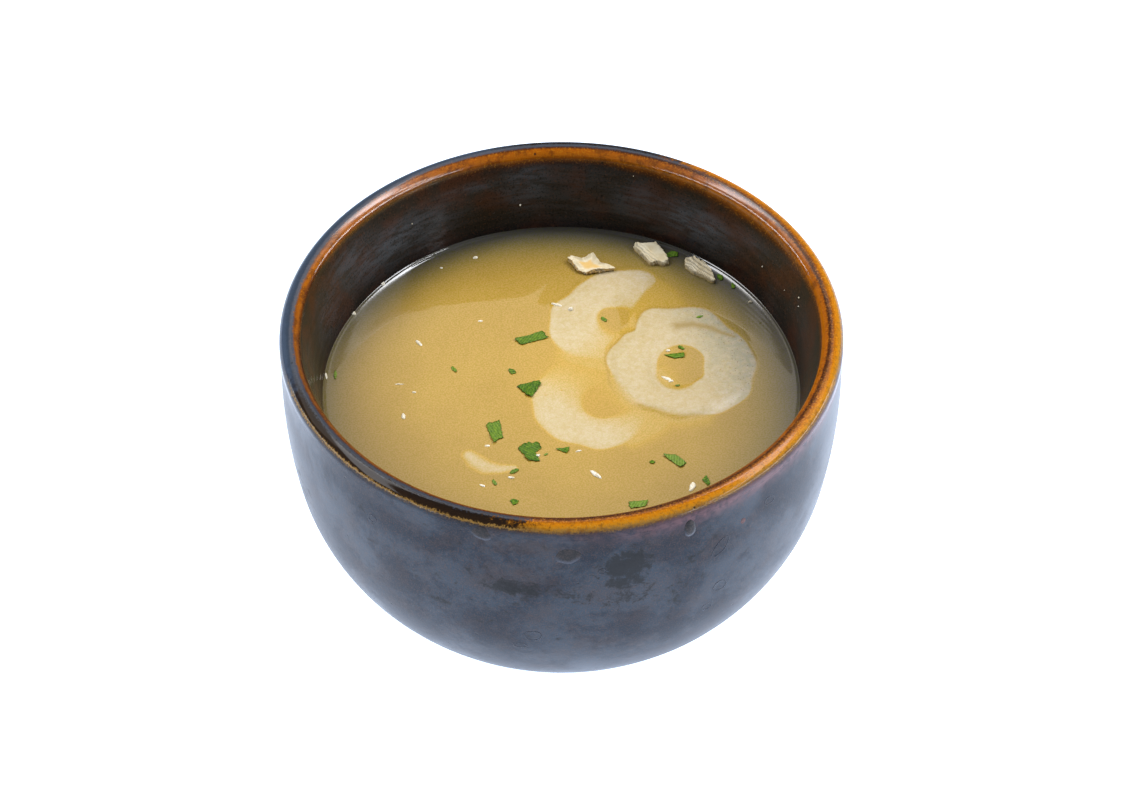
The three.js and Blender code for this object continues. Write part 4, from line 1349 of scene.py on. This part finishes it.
def leafMaterial():
    c = herbColours
    material, tree, shader = newMaterial("chopped_herb")
    place = put(tree, "ShaderNodeTexCoord").outputs["Object"]
    pale = valueOf(tree, "pale")
    tone = shaken(tree, noiseOf(tree, place, 0.45, 4, 0.7), valueOf(tree, "draw"), 0.10)
    colour = rampOf(tree, tone, [(0.32, c["dark"]), (0.48, c["green"]), (0.66, c["light"])])
    colour = painted(tree, colour, c["pale"], pale, 0.6)
    stripes = maths(tree, "SINE", times(tree, valueOf(tree, "veinAcross"), 11.0))
    veins = times(tree, stepOf(tree, stripes, 0.55, 1.0), plus(tree, times(tree, pale, 0.5), 0.12))
    colour = mixColour(tree, veins, colour, c["vein"])
    colour = tinted(tree, colour, c["rim"], valueOf(tree, "rimShare"), 0.82, 1.0, 0.3)
    tree.links.new(colour, shader.inputs["Base Color"])
    tree.links.new(stepOf(tree, tone, 0.3, 0.7, 0.35, 0.55), shader.inputs["Roughness"])
    height = plus(tree, times(tree, stripes, 0.25), tone)
    tree.links.new(bumpOf(tree, height, 0.05, 0.6), shader.inputs["Normal"])
    shader.inputs["IOR"].default_value = c["IOR"]
    return material


# A grain is a low dome with a rounded underside: height = proud * sqrt(1 - share^2) over an uneven oval.
def grain(x0, y0, length, width, turn, proud, seed, rows=7, columns=24):
    sunk, underside = grainShape["sunk"], grainShape["underside"]
    angle = roundAngles(columns)
    radius = outlineRadius(ovalCorners(length, width, turn, 8, seed), angle)
    share = np.sin(np.arange(1, rows + 1) / rows * np.pi / 2)[:, None]
    x, y = share * radius * np.cos(angle), share * radius * np.sin(angle)
    dome = np.sqrt(np.maximum(1 - share ** 2, 0))
    base = topAt(x0 + x, y0 + y) - sunk
    lumps = 1 + 0.25 * softNoise(x * 3 + seed, y * 3, 1.1, seed)
    upper = np.stack([x0 + x, y0 + y, base + proud * dome * lumps], -1).reshape(-1, 3)
    lower = np.stack([x0 + x, y0 + y, base - underside * dome], -1)[:-1].reshape(-1, 3)
    middle = float(base.mean())
    points = np.concatenate([upper, lower, [[x0, y0, middle + proud], [x0, y0, middle - underside]]])
    draw = np.random.default_rng(seed).uniform()
    return points, discFaces(rows, columns), {"draw": np.full(len(points), draw)}


# A speck on the inner wall: a small lumpy ball, half in the glaze. Its centre sits on the drawn outline.
def wallSpeck(turn, down, size, seed, rows=9, columns=14):
    inner = innerOutline()[::-1]
    lipArc = bowl["lipThickness"] / 2 * np.pi / 2  # from the crown to where the wall begins
    length = np.concatenate([[0], np.cumsum(np.hypot(*np.diff(inner, axis=0).T))]) + lipArc
    radius, level = np.interp(down, length, inner[:, 0]), np.interp(down, length, inner[:, 1])
    centre = np.array([radius * np.cos(turn * degree), radius * np.sin(turn * degree), level])
    v = np.linspace(-90, 90, rows + 2)[1:-1, None] * degree
    u = roundAngles(columns)[None, :]
    ball = size / 2 * (1 + 0.15 * softNoise(np.cos(u) * 2 + seed, np.sin(u) * 2 + 2 * v, 1, seed))
    points = np.stack([ball * np.cos(v) * np.cos(u), ball * np.cos(v) * np.sin(u), ball * np.sin(v)], -1)
    points = np.concatenate([points.reshape(-1, 3), [[0, 0, -size / 2], [0, 0, size / 2]]]) + centre
    return points, closedRows(rows, columns, flipped=True), {"draw": np.full(len(points), 1.0)}


def grainMaterial():
    material, tree, shader = newMaterial("pale_grain")
    place = put(tree, "ShaderNodeTexCoord").outputs["Object"]
    tone = shaken(tree, cloudsOf(tree, place, 0.9, 0.35, 0.65), valueOf(tree, "draw"), 0.5)
    colour = mixColour(tree, tone, grainColours["cream"], grainColours["white"])
    tree.links.new(colour, shader.inputs["Base Color"])
    roughness = stepOf(tree, noiseOf(tree, place, 0.5, 2), 0.3, 0.7, 0.18, 0.4)
    tree.links.new(roughness, shader.inputs["Roughness"])
    tree.links.new(bumpOf(tree, noiseOf(tree, place, 0.4, 2), 0.05, 0.5), shader.inputs["Normal"])
    return material


leaves = [leaf(*values, 100 + i) for i, values in enumerate(herbs)]
for i, (x, y, length, width, turn, pale) in enumerate(herbBits):
    corners = ovalCorners(length, width, turn, 7, 200 + i)
    leaves.append(leaf((x, y), corners, pale, 150 + i, rows=5, columns=28))
herbPiece = joinParts("herb_flakes", leaves)
finishPiece(herbPiece, leafMaterial(), "herb")
paleBits = [grain(*values, 300 + i) for i, values in enumerate(grains)]
paleBits += [wallSpeck(*values, 350 + i) for i, values in enumerate(wallSpecks)]
grainPiece = joinParts("pale_grains", paleBits)
finishPiece(grainPiece, grainMaterial(), "gluten")
print("herbs and grains made:", len(herbPiece.data.polygons) + len(grainPiece.data.polygons), "faces")

studio = {
    "floor": (0.70, 0.78, 0.88),
    "floorGlow": (0.98, 1.13, 1.42),  # keeps the floor white under the bowl's soft shadow
    "floorReach": 6.0, "floorRoughness": 0.7,
    "world": (0.21, 0.22, 0.24),
    "aim": (0, 0, 0.06),  # the point that the panels face
    # panels: ends of the middle line, width, brightness, colour
    "panels": {
        "right_panel": ((0.88, -1.05, 0.19), (0.88, 0.45, 0.19), 0.05, 27.5, (0.96, 1.0, 1.05)),
        "left_panel": ((-0.88, -1.05, 0.19), (-0.88, 0.45, 0.19), 0.05, 20.0, (0.96, 1.0, 1.05)),
        "right_arch": ((0.27, 0.68, 1.20), (0.90, -0.06, 0.88), 0.25, 11.1, (0.96, 0.99, 1.05)),
        "right_strip": ((0.90, -0.06, 0.88), (0.95, -0.75, 0.46), 0.04, 26.0, (0.98, 1.0, 1.02)),
        "left_arch": ((-0.27, 0.68, 1.20), (-1.00, -0.38, 0.72), 0.25, 8.0, (0.98, 0.99, 1.02)),
    },
    # the light wall at the back, seen in the soup: from, to and lower edge; it bends away from its middle
    "skyline": [
        (-1.7, -0.0085, 0.872), (-0.0085, 0.031, 0.884), (0.031, 0.060, 0.905), (0.060, 1.7, 0.880),
    ],
    "wallTop": 1.68, "wallBend": 0.268, "wallDepth": 0.9015,
    "wallBrightness": 2.4, "wallColour": (1.0, 0.90, 0.80),
}


def makeFloor():
    mesh = bpy.data.meshes.new("floor")
    r = studio["floorReach"]
    mesh.from_pydata([(-r, -r, 0), (r, -r, 0), (r, r, 0), (-r, r, 0)], [], [(0, 1, 2, 3)])
    floor = bpy.data.objects.new("floor", mesh)
    bpy.context.scene.collection.objects.link(floor)
    material, _, shader = newMaterial("pale_floor")
    shader.inputs["Base Color"].default_value = (*studio["floor"], 1)
    shader.inputs["Roughness"].default_value = studio["floorRoughness"]
    shader.inputs["Emission Color"].default_value = (*studio["floorGlow"], 1)
    shader.inputs["Emission Strength"].default_value = 1.0
    mesh.materials.append(material)


# A soft panel along a line, turned to face a point; its brightness is what a mirror would see.
def makePanel(name, start, end, width, brightness, colour, aim):
    start, end = Vector(start), Vector(end)
    middle, line = (start + end) / 2, end - start
    side = line.normalized()
    away = middle - Vector(aim)
    away = (away - side * away.dot(side)).normalized()
    light = bpy.data.lights.new(name, "AREA")
    light.shape = "RECTANGLE"
    light.size, light.size_y = line.length, width
    light.energy = brightness * np.pi * line.length * width  # watts for that radiance
    light.color = colour
    panel = bpy.data.objects.new(name, light)
    turned = Matrix((side, away.cross(side), away)).transposed().to_4x4()
    panel.matrix_world = Matrix.Translation(middle) @ turned
    bpy.context.scene.collection.objects.link(panel)


makeFloor()
for panelName, panelValues in studio["panels"].items():
    makePanel(panelName, *panelValues, studio["aim"])
for number, (start, end, lower) in enumerate(studio["skyline"]):
    level = (lower + studio["wallTop"]) / 2
    ends = [(x, studio["wallDepth"] - studio["wallBend"] * abs(x), level) for x in (start, end)]
    width, look = studio["wallTop"] - lower, (studio["wallBrightness"], studio["wallColour"])
    makePanel(f"back_wall_{number}", *ends, width, *look, (0, 0, level))

world = bpy.data.worlds.new("studio")
world.use_nodes = True
world.node_tree.nodes["Background"].inputs["Color"].default_value = (*studio["world"], 1)
bpy.context.scene.world = world

camera = {
    "place": (0, -0.72112, 0.76531), "aim": (0.001565, -0.022577, 0.0725),
    "lens": 149.08, "sensor": 36.0, "clip": (0.05, 20),
}


def makeCamera():
    data = bpy.data.cameras.new("camera")
    data.lens, data.sensor_width, data.sensor_fit = camera["lens"], camera["sensor"], "HORIZONTAL"
    data.clip_start, data.clip_end = camera["clip"]
    obj = bpy.data.objects.new("camera", data)
    obj.location = camera["place"]
    obj.rotation_euler = (Vector(camera["aim"]) - Vector(camera["place"])).to_track_quat("-Z", "Y").to_euler()
    bpy.context.scene.collection.objects.link(obj)
    bpy.context.scene.camera = obj


makeCamera()
bpy.context.scene.view_settings.view_transform = "Standard"
print("studio set")
